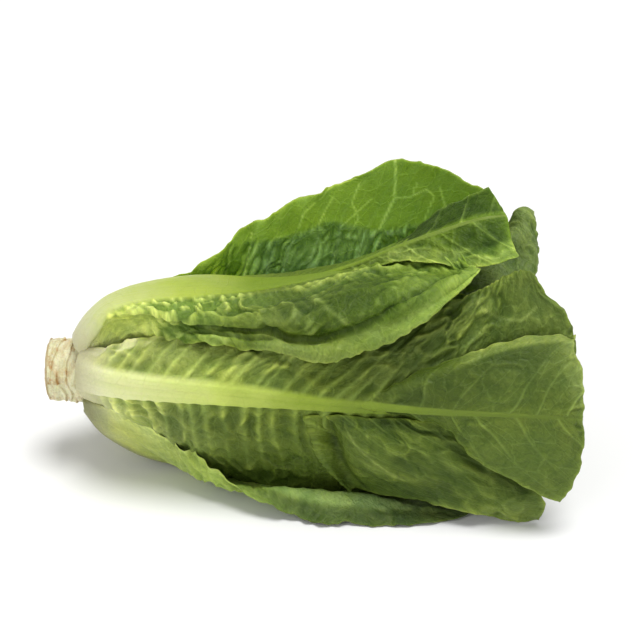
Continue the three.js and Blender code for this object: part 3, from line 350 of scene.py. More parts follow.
    # crisp folds, as in crushed paper
    rg = look.get("fold_len", 12.0)
    qf = s + (q - s) * look.get("shear", 1.0)
    n1 = noise(qf / rg + 0.8 * wx, t / (rg * look.get("fold_stretch", 1.8)) + 0.8 * wy, seed=seed + 81)
    n2 = noise(qf / (rg * 0.46) + 1.1 * wy, t / (rg * 0.46 * min(1.8, max(0.9, look.get("fold_stretch", 1.8)))) + 1.1 * wx, seed=seed + 82)
    n3 = noise(qf / (rg * 0.24), t / (rg * 0.30), seed=seed + 83)
    ridged = 1 - 2.3 * np.sqrt(n1 * n1 + 0.0009) - 0.75 * np.sqrt(n2 * n2 + 0.0016) + 0.16 * n3
    ridged = np.clip(ridged, -1.2, 1)
    body = ease((at_ - look.get("clear", 4.0)) / look.get("clear_in", 6.0)) * grown
    where = look["where"](s, t, u, near_edge, far_edge) if "where" in look else 1.0
    calm = 0.62 + 0.38 * noise(s / 24, t / 20, seed=seed + 41)
    crumple = look.get("crumple", 1.0) * calm * where
    folds = look.get("folds", 0.8)
    if "fold_map" in look:
        folds = folds * look["fold_map"](s, t, u, near_edge, far_edge)
    # relief of blisters, folds and veins, used only to paint highlights on crests and shade in creases
    relief = 0.62 + 0.34 * (dome - 0.5) * look.get("blister", 0.6) + 0.26 * (ridged - 0.05) * folds - 0.30 * valley * look.get("pleats", 0.4) + 0.22 * vein * reach
    relief = 0.62 + look.get("gain", 1.55) * (relief - 0.62) * np.clip(body * np.clip(crumple, 0, 1.4), 0, 1.4)
    pleat_on = look.get("pleats", 0.4) * body
    bumps = crumple * body * (look.get("blister", 0.6) * 1.4 * (dome - 0.35) + folds * 1.25 * (ridged + 0.1)) - 1.0 * pleat_on * valley

    # slow waves, and a ruffle that grows towards the margin
    wave = look.get("wave", 1.0) * 1.3 * fractal(s / 38, t / 30, seed=seed + 51, octaves=2) * ease((down - 15) / 40)
    ruff_w = look.get("ruffle_len", 13.0)
    along = s + 0.3 * t
    phase = 2 * math.pi * (along / ruff_w + 0.9 * noise(along / 30, sign * 2.0, seed=seed + 61))
    ruffle = look.get("ruffle", 1.0) * grown * (1.2 * np.sin(phase) * (0.6 + 0.7 * noise(along / 40, sign * 7.0, seed=seed + 63)) + 1.3 * noise(along / 7.0, sign * 5.0 + t / 14, seed=seed + 62)) * np.exp(-e / look.get("ruffle_in", 7.0))
    if "ruffle_where" in look:
        ruffle = ruffle * look["ruffle_where"](s, t, u, near_edge, far_edge)

    # midrib
    rib_h = np.interp(u, RIB_U, look.get("rib_h", [1.5, 2.0, 1.8, 1.3, 0.9, 0.4, 0.2]))
    rib_w = np.interp(u, RIB_U, look.get("rib_w", [9, 8, 6, 4.5, 3, 1.6, 0.8]))
    if rib is None:
        rmask = np.zeros_like(s)
        rise = 0.0
    else:
        x = t / (rib_w * np.where(t > 0, np.interp(u, RIB_U, look.get("rib_far", [1, 1, 1, 1, 1, 1, 1])), 1.0))
        soft = np.where(t > 0, look.get("rib_soft", 0.5), look.get("rib_hard", 0.35))
        rmask = 1 - ease((np.abs(x) - (1 - soft)) / (2 * soft))
        rise = rib_h * rmask * (1 - 0.22 * np.clip(np.abs(x), 0, 1) ** 2)
        rise = rise + 0.10 * rmask * noise(s / 40, t / 1.3, seed=seed + 71) + 0.16 * rmask * noise(s / 16, t / 6, seed=seed + 72)
    keep = 1 - 0.85 * rmask
    common = look.get("amp", 1.0) * ((bumps + wave * 0.6) * keep + wave * 0.4 + ruffle * keep)
    if "push" in look:
        common = common + look["push"](s, t, u, near_edge, far_edge)
    flip = look.get("blister_side", 1.0)
    common = np.where(True, common * flip, common)
    vein_h = look.get("vein_h", 0.75) * (0.3 + 0.7 * reach) * vein * (1 - rmask) * grown
    th = look.get("thick", 0.5) + 2.4 * (1 - ease(down / 34)) * look.get("base_thick", 1.0) + 0.55 * np.exp(-at_ / 14) * grown
    taper = np.clip(e_all / 1.3, 0, 1) ** 0.6
    in_side = look.get("rib_in", 0.25)
    P_out = S + N * (common + vein_h + rise * (1 - in_side) + th * 0.5 * taper)[..., None]
    P_in = S + N * (common - rise * in_side - 0.35 * vein_h - th * 0.5 * taper)[..., None]
    low = 0.25
    for P in (P_out, P_in):
        z = P[..., 2]
        P[..., 2] = np.where(z < low + 1.5, low + 1.5 * np.exp((z - low - 1.5) / 1.5), z)
    P_in[0], P_in[-1], P_in[:, 0], P_in[:, -1] = P_out[0], P_out[-1], P_out[:, 0], P_out[:, -1]

    # one closed mesh: the two sides share the margin
    n_out = nu * nv
    idx_in = np.empty((nu, nv), int)
    idx_out = np.arange(n_out).reshape(nu, nv)
    idx_in[:] = idx_out
    inner = (nu - 2) * (nv - 2)
    idx_in[1:-1, 1:-1] = n_out + np.arange(inner).reshape(nu - 2, nv - 2)
    co = np.concatenate([P_out.reshape(-1, 3), P_in[1:-1, 1:-1].reshape(-1, 3)])
    co = (co - SHIFT) * MM
    q_out = np.stack([idx_out[:-1, :-1], idx_out[1:, :-1], idx_out[1:, 1:], idx_out[:-1, 1:]], -1).reshape(-1, 4)
    q_in = np.stack([idx_in[:-1, :-1], idx_in[:-1, 1:], idx_in[1:, 1:], idx_in[1:, :-1]], -1).reshape(-1, 4)
    # face the outer side outwards
    a, b, c_ = co[q_out[:, 0]], co[q_out[:, 1]], co[q_out[:, 3]]
    facing = np.sum(np.cross(b - a, c_ - a) * N[:-1, :-1].reshape(-1, 3))
    if facing < 0:
        q_out, q_in = q_out[:, ::-1], q_in[:, ::-1]
    faces = np.concatenate([q_out, q_in])

    me = bpy.data.meshes.new(name)
    me.vertices.add(len(co))
    me.vertices.foreach_set("co", co.astype(np.float32).ravel())
    me.loops.add(len(faces) * 4)
    me.loops.foreach_set("vertex_index", faces.astype(np.int32).ravel())
    me.polygons.add(len(faces))
    me.polygons.foreach_set("loop_start", np.arange(0, len(faces) * 4, 4, dtype=np.int32))
    me.polygons.foreach_set("use_smooth", np.ones(len(faces), bool))
    me.update(calc_edges=True)

    gi, gj = np.meshgrid(np.linspace(0, 1, nu), np.linspace(0, 1, nv), indexing="ij")
    uv_o = np.stack([0.005 + 0.485 * gj, 0.01 + 0.98 * gi], -1)
    uv_i = np.stack([0.510 + 0.485 * gj, 0.01 + 0.98 * gi], -1)
    lo_ = np.stack([uv_o[:-1, :-1], uv_o[1:, :-1], uv_o[1:, 1:], uv_o[:-1, 1:]], 2).reshape(-1, 4, 2)
    li_ = np.stack([uv_i[:-1, :-1], uv_i[:-1, 1:], uv_i[1:, 1:], uv_i[1:, :-1]], 2).reshape(-1, 4, 2)
    if facing < 0:
        lo_, li_ = lo_[:, ::-1], li_[:, ::-1]
    uvs = me.uv_layers.new(name="OFBake")
    uvs.data.foreach_set("uv", np.concatenate([lo_, li_]).astype(np.float32).ravel())

    def attr(label, x_, y_, z_):
        v = np.stack([x_, y_, z_], -1)
        v = np.concatenate([v.reshape(-1, 3), v[1:-1, 1:-1].reshape(-1, 3)]).astype(np.float32)
        me.attributes.new(label, "FLOAT_VECTOR", "POINT").data.foreach_set("vector", v.ravel())

    attr("leaf_pos", s, t, q)
    # colour masks per leaf: the paler mask holds pale veins and margins and painted highlights, the darker mask is
    # mostly painted shade, the zone is partly painted light
    pale = look["pale"](s, t, u, near_edge, far_edge) if "pale" in look else 0 * s
    deep = look["deep"](s, t, u, near_edge, far_edge) if "deep" in look else 0 * s
    zone = look["zone"](s, t, u, near_edge, far_edge) if "zone" in look else 0 * s
    cream = look["cream"](s, t, u, near_edge, far_edge) if "cream" in look else 0 * s
    attr("leaf_mask", np.maximum(rmask, np.clip(cream, 0, 1)), vein * grown, np.exp(-(e / 1.6) ** 2))
    attr("leaf_tone", np.clip(pale, 0, 1) + 0 * s, np.clip(deep, 0, 1) + 0 * s, np.clip(zone, 0, 1) + 0 * s)
    uu = u if look.get("u_from") is None else look["u_from"][0] + (look["u_from"][1] - look["u_from"][0]) * u
    attr("leaf_form", uu, np.clip(relief, 0, 1), np.clip(at_ / half, 0, 1))
    ob = bpy.data.objects.new(name, me)
    bpy.context.scene.collection.objects.link(ob)
    return ob


# ------------------------------------------------------------------ materials
def node_tools(mat):
    mat.use_nodes = True
    nt = mat.node_tree
    nt.nodes.clear()

    def new(kind, **k):
        n = nt.nodes.new(kind)
        for a, b in k.items():
            setattr(n, a, b)
        return n

    def link(a, b):
        nt.links.new(a, b)

    def math_(op, a, b=None, clamp=False):
        n = new("ShaderNodeMath", operation=op, use_clamp=clamp)
        for i, x in enumerate([a] if b is None else [a, b]):
            if isinstance(x, (int, float)):
                n.inputs[i].default_value = x
            else:
                link(x, n.inputs[i])
        return n.outputs[0]

    def mix(fac, a, b, blend="MIX"):
        n = new("ShaderNodeMix", data_type="RGBA", blend_type=blend)
        for sock, x in ((n.inputs[0], fac), (n.inputs[6], a), (n.inputs[7], b)):
            if isinstance(x, (int, float)):
                sock.default_value = x
            elif isinstance(x, tuple):
                sock.default_value = (*x, 1.0)
            else:
                link(x, sock)
        return n.outputs[2]

    def ramp(fac, stops, interp="LINEAR"):
        n = new("ShaderNodeValToRGB")
        n.color_ramp.interpolation = interp
        els = n.color_ramp.elements
        while len(els) > 1:
            els.remove(els[-1])
        els[0].position = stops[0][0]
        els[0].color = (*stops[0][1], 1)
        for p, c in stops[1:]:
            el = els.new(p)
            el.color = (*c, 1)
        link(fac, n.inputs[0])
        return n.outputs[0]

    def grey(fac, stops):
        return ramp(fac, [(p, (v, v, v)) for p, v in stops])

    return nt, new, link, math_, mix, ramp, grey


def leaf_material(name, blade, rib, base_rgb, **k):
    mat = bpy.data.materials.new(name)
    nt, new, link, math_, mix, ramp, grey = node_tools(mat)
    out = new("ShaderNodeOutputMaterial")
    bsdf = new("ShaderNodeBsdfPrincipled")
    link(bsdf.outputs[0], out.inputs[0])
    pos = new("ShaderNodeAttribute", attribute_name="leaf_pos").outputs["Vector"]
    mask = new("ShaderNodeSeparateXYZ"); link(new("ShaderNodeAttribute", attribute_name="leaf_mask").outputs["Vector"], mask.inputs[0])
    form = new("ShaderNodeSeparateXYZ"); link(new("ShaderNodeAttribute", attribute_name="leaf_form").outputs["Vector"], form.inputs[0])
    sep = new("ShaderNodeSeparateXYZ"); link(pos, sep.inputs[0])
    st = new("ShaderNodeCombineXYZ"); link(sep.outputs[0], st.inputs[0]); link(sep.outputs[1], st.inputs[1])
    qt = new("ShaderNodeCombineXYZ"); link(sep.outputs[2], qt.inputs[0]); link(sep.outputs[1], qt.inputs[1])

    def nz(vec, scale, detail=3.0, rough=0.55, seed=0.0):
        n = new("ShaderNodeTexNoise", noise_dimensions="3D")
        n.inputs["Scale"].default_value = scale
        n.inputs["Detail"].default_value = detail
        n.inputs["Roughness"].default_value = rough
        if seed:
            m = new("ShaderNodeVectorMath", operation="ADD")
            link(vec, m.inputs[0]); m.inputs[1].default_value = (seed, seed * 1.7, seed * 0.3)
            vec = m.outputs[0]
        link(vec, n.inputs["Vector"])
        return n

    seed = k.get("seed", 0.0) * 37.0
    patch = nz(st.outputs[0], 0.045, 3.0, 0.6, seed + 3)
    speck = nz(st.outputs[0], 0.9, 4.0, 0.6, seed + 5)
    uu = math_("ADD", form.outputs[0], math_("MULTIPLY", math_("SUBTRACT", patch.outputs[0], 0.5), 0.16))
    col = ramp(uu, blade)
    tone = new("ShaderNodeSeparateXYZ"); link(new("ShaderNodeAttribute", attribute_name="leaf_tone").outputs["Vector"], tone.inputs[0])
    # lighter by the midrib, deeper towards the margin
    near = math_("POWER", math_("SUBTRACT", 1.0, form.outputs[2], True), 2.2)
    col = mix(math_("MULTIPLY", near, k.get("near", 0.45)), col, mix(1.0, col, (1.45, 1.35, 1.15), "MULTIPLY"))
    # a zone with a tint that is partly painted light (a lit upper side, a band where no light shines through), a paler
    # part (pale veins and margins, partly painted highlights) and a darker part (mostly painted shade in creases and on
    # sides turned away from the light)
    col = mix(tone.outputs[2], col, mix(1.0, col, k.get("zone_mul", (1.3, 1.25, 1.1)), "MULTIPLY"))
    col = mix(tone.outputs[0], col, mix(1.0, mix(1.0, col, (1.40, 1.34, 1.35), "MULTIPLY"), k.get("pale_add", (0.11, 0.12, 0.05)), "ADD"))
    col = mix(tone.outputs[1], col, mix(1.0, col, k.get("deep_mul", (0.42, 0.46, 0.45)), "MULTIPLY"))
    # warm and cool patches
    col = mix(math_("MULTIPLY", grey(patch.outputs[0], [(0.42, 0.0), (0.62, 1.0)]), 0.35), col, mix(1.0, col, k.get("warm", (1.28, 1.16, 0.75)), "MULTIPLY"))
    col = mix(math_("MULTIPLY", grey(nz(st.outputs[0], 0.075, 2.0, 0.5, seed + 9).outputs[0], [(0.45, 0.0), (0.65, 1.0)]), 0.35), col, mix(1.0, col, (0.72, 0.80, 0.90), "MULTIPLY"))
    # blisters and folds: painted highlight on their tops (a bluish sheen on the back leaf) and painted shade in the
    # creases, from the relief
    low_ = grey(form.outputs[1], [(0.15, 1.0), (0.58, 0.0)])
    high_ = grey(form.outputs[1], [(0.62, 0.0), (0.92, 1.0)])
    col = mix(math_("MULTIPLY", low_, k.get("crease", 0.7)), col, mix(1.0, col, (0.42, 0.52, 0.38), "MULTIPLY"))
    col = mix(math_("MULTIPLY", high_, k.get("crest", 0.6)), col, mix(1.0, mix(1.0, col, k.get("crest_mul", (1.42, 1.34, 1.3)), "MULTIPLY"), k.get("crest_add", (0.032, 0.036, 0.012)), "ADD"))
    # the vein network
    wob = new("ShaderNodeVectorMath", operation="ADD")
    wsc = new("ShaderNodeVectorMath", operation="SCALE"); link(nz(st.outputs[0], 0.25, 2.0, 0.5, seed + 1).outputs["Color"], wsc.inputs[0]); wsc.inputs["Scale"].default_value = 3.0
    link(qt.outputs[0], wob.inputs[0]); link(wsc.outputs[0], wob.inputs[1])

    def net_(scale, stretch, width):
        m = new("ShaderNodeVectorMath", operation="MULTIPLY"); link(wob.outputs[0], m.inputs[0]); m.inputs[1].default_value = (1.0, stretch, 1.0)
        v = new("ShaderNodeTexVoronoi", feature="DISTANCE_TO_EDGE", voronoi_dimensions="2D")
        v.inputs["Scale"].default_value = scale
        link(m.outputs[0], v.inputs["Vector"])
        return grey(v.outputs["Distance"], [(0.0, 1.0), (width, 0.0)])

    wob2 = new("ShaderNodeVectorMath", operation="ADD"); link(st.outputs[0], wob2.inputs[0]); link(wsc.outputs[0], wob2.inputs[1])

    def crinkle(scale, stretch, sd):
        m = new("ShaderNodeVectorMath", operation="MULTIPLY"); link(wob2.outputs[0], m.inputs[0]); m.inputs[1].default_value = (1.0, stretch, 1.0)
        return math_("MULTIPLY", math_("ABSOLUTE", math_("SUBTRACT", nz(m.outputs[0], scale, 1.5, 0.5, seed + sd).outputs[0], 0.5)), 5.0, True)

    ck1, ck2 = crinkle(0.20, 0.85, 13), crinkle(0.46, 0.95, 17)
    away = math_("MULTIPLY", math_("SUBTRACT", 1.0, mask.outputs[0], True), grey(form.outputs[0], [(0.06, 0.15), (0.25, 1.0)]))
    ck = math_("ADD", math_("MULTIPLY", ck1, 0.65), math_("MULTIPLY", ck2, 0.35))
    # fine crinkles: painted shade in their valleys and painted highlight on their ridges, alongside their bump
    col = mix(math_("MULTIPLY", grey(ck, [(0.0, 1.0), (0.34, 0.0)]), math_("MULTIPLY", away, k.get("crinkle", 0.5))), col, mix(1.0, col, (0.60, 0.68, 0.50), "MULTIPLY"))
    col = mix(math_("MULTIPLY", grey(ck, [(0.45, 0.0), (0.9, 1.0)]), math_("MULTIPLY", away, k.get("crinkle", 0.5) * 0.8)), col, mix(1.0, col, (1.26, 1.20, 1.15), "MULTIPLY"))
    net1 = net_(0.115, 0.62, 0.055)
    net2 = net_(0.34, 0.8, 0.075)
    veins = math_("MAXIMUM", math_("MULTIPLY", mask.outputs[1], k.get("vein", 0.85)), math_("MAXIMUM", math_("MULTIPLY", net1, k.get("net", 0.42)), math_("MULTIPLY", net2, k.get("net", 0.42) * 0.45)))
    pale = mix(1.0, mix(1.0, col, k.get("vein_mul", (1.40, 1.34, 1.35)), "MULTIPLY"), k.get("vein_add", (0.045, 0.055, 0.018)), "ADD")
    col = mix(veins, col, pale)
    # midrib
    ribc = ramp(uu, rib)
    streak = new("ShaderNodeVectorMath", operation="MULTIPLY"); link(st.outputs[0], streak.inputs[0]); streak.inputs[1].default_value = (0.018, 0.55, 1.0)
    stk = nz(streak.outputs[0], 1.0, 3.0, 0.6, seed + 2)
    ribc = mix(math_("MULTIPLY", grey(stk.outputs[0], [(0.40, 0.0), (0.65, 1.0)]), 0.30), ribc, mix(1.0, ribc, (0.80, 0.90, 0.62), "MULTIPLY"))
    col = mix(grey(mask.outputs[0], [(0.12, 0.0), (0.85, 1.0)]), col, ribc)
    # pale thin margin, partly the leaf's paler edge and partly painted light shining through it, and where the leaf
    # joins the stem
    col = mix(math_("MULTIPLY", mask.outputs[2], k.get("rim", 0.30)), col, mix(1.0, col, (1.9, 1.75, 1.7), "MULTIPLY"))
    joint = grey(math_("ADD", form.outputs[0], math_("MULTIPLY", math_("SUBTRACT", speck.outputs[0], 0.5), 0.03)), [(k.get("join", 0.03), 1.0), (k.get("join", 0.03) + 0.085, 0.0)])
    col = mix(joint, col, base_rgb)
    # fine speckle
    col = mix(math_("SUBTRACT", 1.0, math_("MULTIPLY", mask.outputs[0], 0.7)), col, mix(1.0, col, grey(speck.outputs[0], [(0.25, 0.89), (0.75, 1.09)]), "MULTIPLY"))
    link(col, bsdf.inputs["Base Color"])
    rough = math_("ADD", k.get("rough", 0.46), math_("MULTIPLY", math_("SUBTRACT", speck.outputs[0], 0.5), 0.30))
    rough = math_("SUBTRACT", rough, math_("MULTIPLY", mask.outputs[0], 0.08))
    link(rough, bsdf.inputs["Roughness"])
    bsdf.inputs["Specular IOR Level"].default_value = k.get("spec", 0.24)
    bsdf.inputs["Subsurface Weight"].default_value = k.get("sss", 0.30)
    bsdf.inputs["Subsurface Radius"].default_value = k.get("radius", (0.8, 1.0, 0.25))
    bsdf.inputs["Subsurface Scale"].default_value = k.get("sss_scale", 0.0016)
    height = math_("ADD", math_("ADD", math_("MULTIPLY", net1, 0.5), math_("MULTIPLY", net2, 0.35)), math_("MULTIPLY", math_("MULTIPLY", speck.outputs[0], math_("SUBTRACT", 1.0, math_("MULTIPLY", mask.outputs[0], 0.8))), 0.5))
    height = math_("ADD", height, math_("MULTIPLY", math_("MULTIPLY", stk.outputs[0], mask.outputs[0]), 0.7))
    height = math_("ADD", height, math_("MULTIPLY", math_("MULTIPLY", ck, away), k.get("crinkle", 0.5) * 3.4))
    bump = new("ShaderNodeBump")
    bump.inputs["Strength"].default_value = 0.75
    bump.inputs["Distance"].default_value = 0.00040
    link(height, bump.inputs["Height"])
    link(bump.outputs[0], bsdf.inputs["Normal"])
    mat.diffuse_color = (*blade[len(blade) // 2][1], 1)
    return mat


def stem_material(name):
    mat = bpy.data.materials.new(name)
    nt, new, link, math_, mix, ramp, grey = node_tools(mat)
    out = new("ShaderNodeOutputMaterial")
    bsdf = new("ShaderNodeBsdfPrincipled")
    link(bsdf.outputs[0], out.inputs[0])
    co = new("ShaderNodeAttribute", attribute_name="stem_pos").outputs["Vector"]      # along, round, spare (mm)
    msk = new("ShaderNodeSeparateXYZ"); link(new("ShaderNodeAttribute", attribute_name="stem_mask").outputs["Vector"], msk.inputs[0])

    def nz(scale, detail=4.0, rough=0.6, stretch=(1, 1, 1), add=0.0):
        m = new("ShaderNodeVectorMath", operation="MULTIPLY_ADD"); link(co, m.inputs[0]); m.inputs[1].default_value = stretch; m.inputs[2].default_value = (add, add, add)
        n = new("ShaderNodeTexNoise"); n.inputs["Scale"].default_value = scale; n.inputs["Detail"].default_value = detail; n.inputs["Roughness"].default_value = rough
        link(m.outputs[0], n.inputs["Vector"])
        return n.outputs[0]

    base = ramp(nz(0.12, 4, 0.6), [(0.3, (0.70, 0.68, 0.42)), (0.55, (0.80, 0.78, 0.51)), (0.8, (0.86, 0.85, 0.62))])
    base = mix(math_("MULTIPLY", grey(nz(0.30, 4, 0.65, (1.6, 0.5, 1), 9.0), [(0.47, 0.0), (0.62, 1.0)]), 0.55), base, (0.55, 0.50, 0.24))
    # browned, oxidised patches along the scars and round the cut rim
    rust_f = math_("MULTIPLY", grey(nz(0.16, 5, 0.7, (1.0, 0.7, 1), 4.0), [(0.46, 0.0), (0.58, 1.0)]), msk.outputs[0])
    rust = ramp(nz(0.8, 4, 0.7, (1, 1, 1), 2.0), [(0.3, (0.30, 0.13, 0.03)), (0.6, (0.55, 0.32, 0.12)), (0.8, (0.62, 0.48, 0.24))])
    col = mix(rust_f, base, rust)
    col = mix(math_("MULTIPLY", msk.outputs[1], 0.55), col, (0.40, 0.27, 0.11))
    # cut face: pale ring of bundles round a wetter middle
    face = ramp(math_("ADD", msk.outputs[2], math_("MULTIPLY", math_("SUBTRACT", nz(0.35, 4, 0.6, (1, 1, 1), 6.0), 0.5), 0.25)),
                [(0.0, (0.74, 0.66, 0.42)), (0.45, (0.66, 0.55, 0.30)), (0.62, (0.78, 0.70, 0.44)), (0.86, (0.60, 0.42, 0.20)), (1.0, (0.42, 0.24, 0.09))])
    geo = new("ShaderNodeAttribute", attribute_name="stem_face").outputs["Fac"]
    col = mix(geo, col, face)
    col = mix(1.0, col, grey(nz(1.3, 4, 0.65, (1, 1, 1), 1.0), [(0.25, 0.86), (0.75, 1.10)]), "MULTIPLY")
    link(col, bsdf.inputs["Base Color"])
    link(grey(nz(0.5, 4, 0.6, (1, 1, 1), 3.0), [(0.3, 0.42), (0.7, 0.68)]), bsdf.inputs["Roughness"])
    bsdf.inputs["Specular IOR Level"].default_value = 0.4
    bsdf.inputs["Subsurface Weight"].default_value = 0.35
    bsdf.inputs["Subsurface Radius"].default_value = (1.0, 0.8, 0.4)
    bsdf.inputs["Subsurface Scale"].default_value = 0.002
    bump = new("ShaderNodeBump"); bump.inputs["Strength"].default_value = 0.6; bump.inputs["Distance"].default_value = 0.0006
    link(math_("ADD", nz(0.9, 5, 0.65, (1.5, 0.6, 1), 5.0), math_("MULTIPLY", nz(2.5, 3, 0.6), 0.4)), bump.inputs["Height"])
    link(bump.outputs[0], bsdf.inputs["Normal"])
    return mat


def stem_mesh(name):
    """Cut stem end with leaf scars; runs on inside as a tapering core."""
    xs = np.concatenate([np.linspace(-149.3, -147.0, 4), np.linspace(-146.7, -120, 120), np.linspace(-119, -50, 60)])
    rad_x = [-149.5, -148.6, -146.8, -143, -137, -131, -126, -119, -111, -101, -91, -80, -69, -58, -50]
    rad_r = [6, 12.5, 17.0, 17.7, 17.5, 18.2, 18.3, 17.6, 16.4, 14.6, 12.4, 9.6, 6.6, 3.8, 1.8]
    nk = 360
    k = np.linspace(0, 2 * math.pi, nk, endpoint=False)
    # the domed face is a set of rings from the middle outwards
    fr = np.linspace(0.02, 1, 60)
    rows, along, mask, facev = [], [], [], []
    edge_r = 17.0
    for f in fr:
        r = edge_r * f * (1 + 0.022 * np.cos(2 * k + 0.6)) + 0.25 * noise(3 * np.cos(k) + 2, 3 * np.sin(k), seed=4) * f
        x = -149.5 + 2.2 * f ** 3.2 + 0.28 * noise(r * np.cos(k) / 2.2, r * np.sin(k) / 2.2, seed=5) + 0.5 * np.exp(-((f - 0.78) / 0.06) ** 2) * 0.6
        rows.append(np.stack([x, -r * np.cos(k), AXIS_Z + r * np.sin(k)], -1))
        along.append(np.stack([r * np.cos(k) * 1.0, r * np.sin(k), np.full(nk, 50.0)], -1))
        mask.append(np.stack([np.full(nk, 0.8), np.full(nk, ease((f - 0.93) / 0.07)), np.full(nk, f)], -1))
        facev.append(np.full(nk, 1.0 - ease((f - 0.9) / 0.1)))
    for x in xs[5:]:
        base = float(np.interp(x, rad_x, rad_r))
        shown = 1.0 - ease((x + 122) / 8)
        wob = x + 1.6 * np.sin(2 * k + 1.0) + 1.1 * np.sin(3 * k - 0.5) + 0.9 * noise(k * 2.2, 0 * k, seed=8)
        # leaf scars: low shelves that run part of the way round
        scar = 0.0
        line = np.zeros(nk)
        for c, w, a0, a1, h in ((-143.2, 0.55, 0.3, 3.9, 0.75), (-139.6, 0.6, 2.6, 6.4, 0.8), (-136.0, 0.5, -0.6, 2.2, 0.65), (-132.6, 0.6, 1.4, 5.2, 0.8), (-129.0, 0.5, 4.2, 7.4, 0.7), (-126.0, 0.5, 0.4, 3.4, 0.6)):
            mid, wid = (a0 + a1) / 2, (a1 - a0) / 2
            dk = np.abs((k - mid + math.pi) % (2 * math.pi) - math.pi)
            on = 1 - ease((dk - wid) / 0.45)
            d = wob - c - 1.2 * np.cos(dk)
            scar = scar + on * h * (np.exp(-(d / w) ** 2) - 0.8 * np.exp(-((d - 1.3) / (w * 1.3)) ** 2))
            line = np.maximum(line, on * np.exp(-((d - 0.7) / 0.5) ** 2))
        r = base * (1 + 0.022 * np.cos(2 * k + 0.6) + 0.012 * np.cos(5 * k + x * 0.1)) + shown * (0.8 * scar + 0.55 * noise(k * 3.2, x / 3.5 + 0 * k, seed=9) + 0.22 * noise(k * 9, x / 1.3 + 0 * k, seed=10))
        r = r - 0.35
        rows.append(np.stack([np.full(nk, x), -r * np.cos(k), AXIS_Z + r * np.sin(k)], -1))
        along.append(np.stack([np.full(nk, x), k * 17.5, np.zeros(nk)], -1))
        near_cut = np.exp(-(x + 147.0) / 2.0)
        mask.append(np.stack([np.clip(0.35 + 0.9 * line + 1.0 * near_cut, 0, 1) * np.ones(nk), 0.6 * line, np.ones(nk)], -1))
        facev.append(np.zeros(nk))
    rows, along, mask, facev = [np.array(a) for a in (rows, along, mask, facev)]
    m = len(rows)
    co = rows.reshape(-1, 3)
    ends = np.array([[-149.5, 0, AXIS_Z], [-49.5, 0, AXIS_Z]])
    co = (np.concatenate([co, ends]) - SHIFT) * MM
    i, j = np.meshgrid(np.arange(m - 1), np.arange(nk), indexing="ij")
    j2 = (j + 1) % nk
    quads = np.stack([i * nk + j, i * nk + j2, (i + 1) * nk + j2, (i + 1) * nk + j], -1).reshape(-1, 4)
    tris = [(m * nk, (q_ + 1) % nk, q_) for q_ in range(nk)] + [(m * nk + 1, (m - 1) * nk + q_, (m - 1) * nk + (q_ + 1) % nk) for q_ in range(nk)]
    me = bpy.data.meshes.new(name)
    me.from_pydata(co.tolist(), [], quads.tolist() + tris)
    me.polygons.foreach_set("use_smooth", np.ones(len(me.polygons), bool))
    for label, arr, add in (("stem_pos", along, [[0, 0, 50], [-49, 0, 0]]), ("stem_mask", mask, [[0.8, 0, 0], [0, 0, 1]])):
        v = np.concatenate([arr.reshape(-1, 3), np.array(add, float)]).astype(np.float32)
        me.attributes.new(label, "FLOAT_VECTOR", "POINT").data.foreach_set("vector", v.ravel())
    me.attributes.new("stem_face", "FLOAT", "POINT").data.foreach_set("value", np.concatenate([facev.ravel(), [1.0, 0.0]]).astype(np.float32))
    me.validate()
    me.update()
    ob = bpy.data.objects.new(name, me)
    bpy.context.scene.collection.objects.link(ob)
    # outward faces
    import bmesh
    bm = bmesh.new(); bm.from_mesh(me); bmesh.ops.recalc_face_normals(bm, faces=bm.faces); bm.to_mesh(me); bm.free()
    return ob


def add_piece(ob, node, slot, mat):
    ob.data.materials.clear()
    ob.data.materials.append(mat)
    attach(ob, "root")
    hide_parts(node)


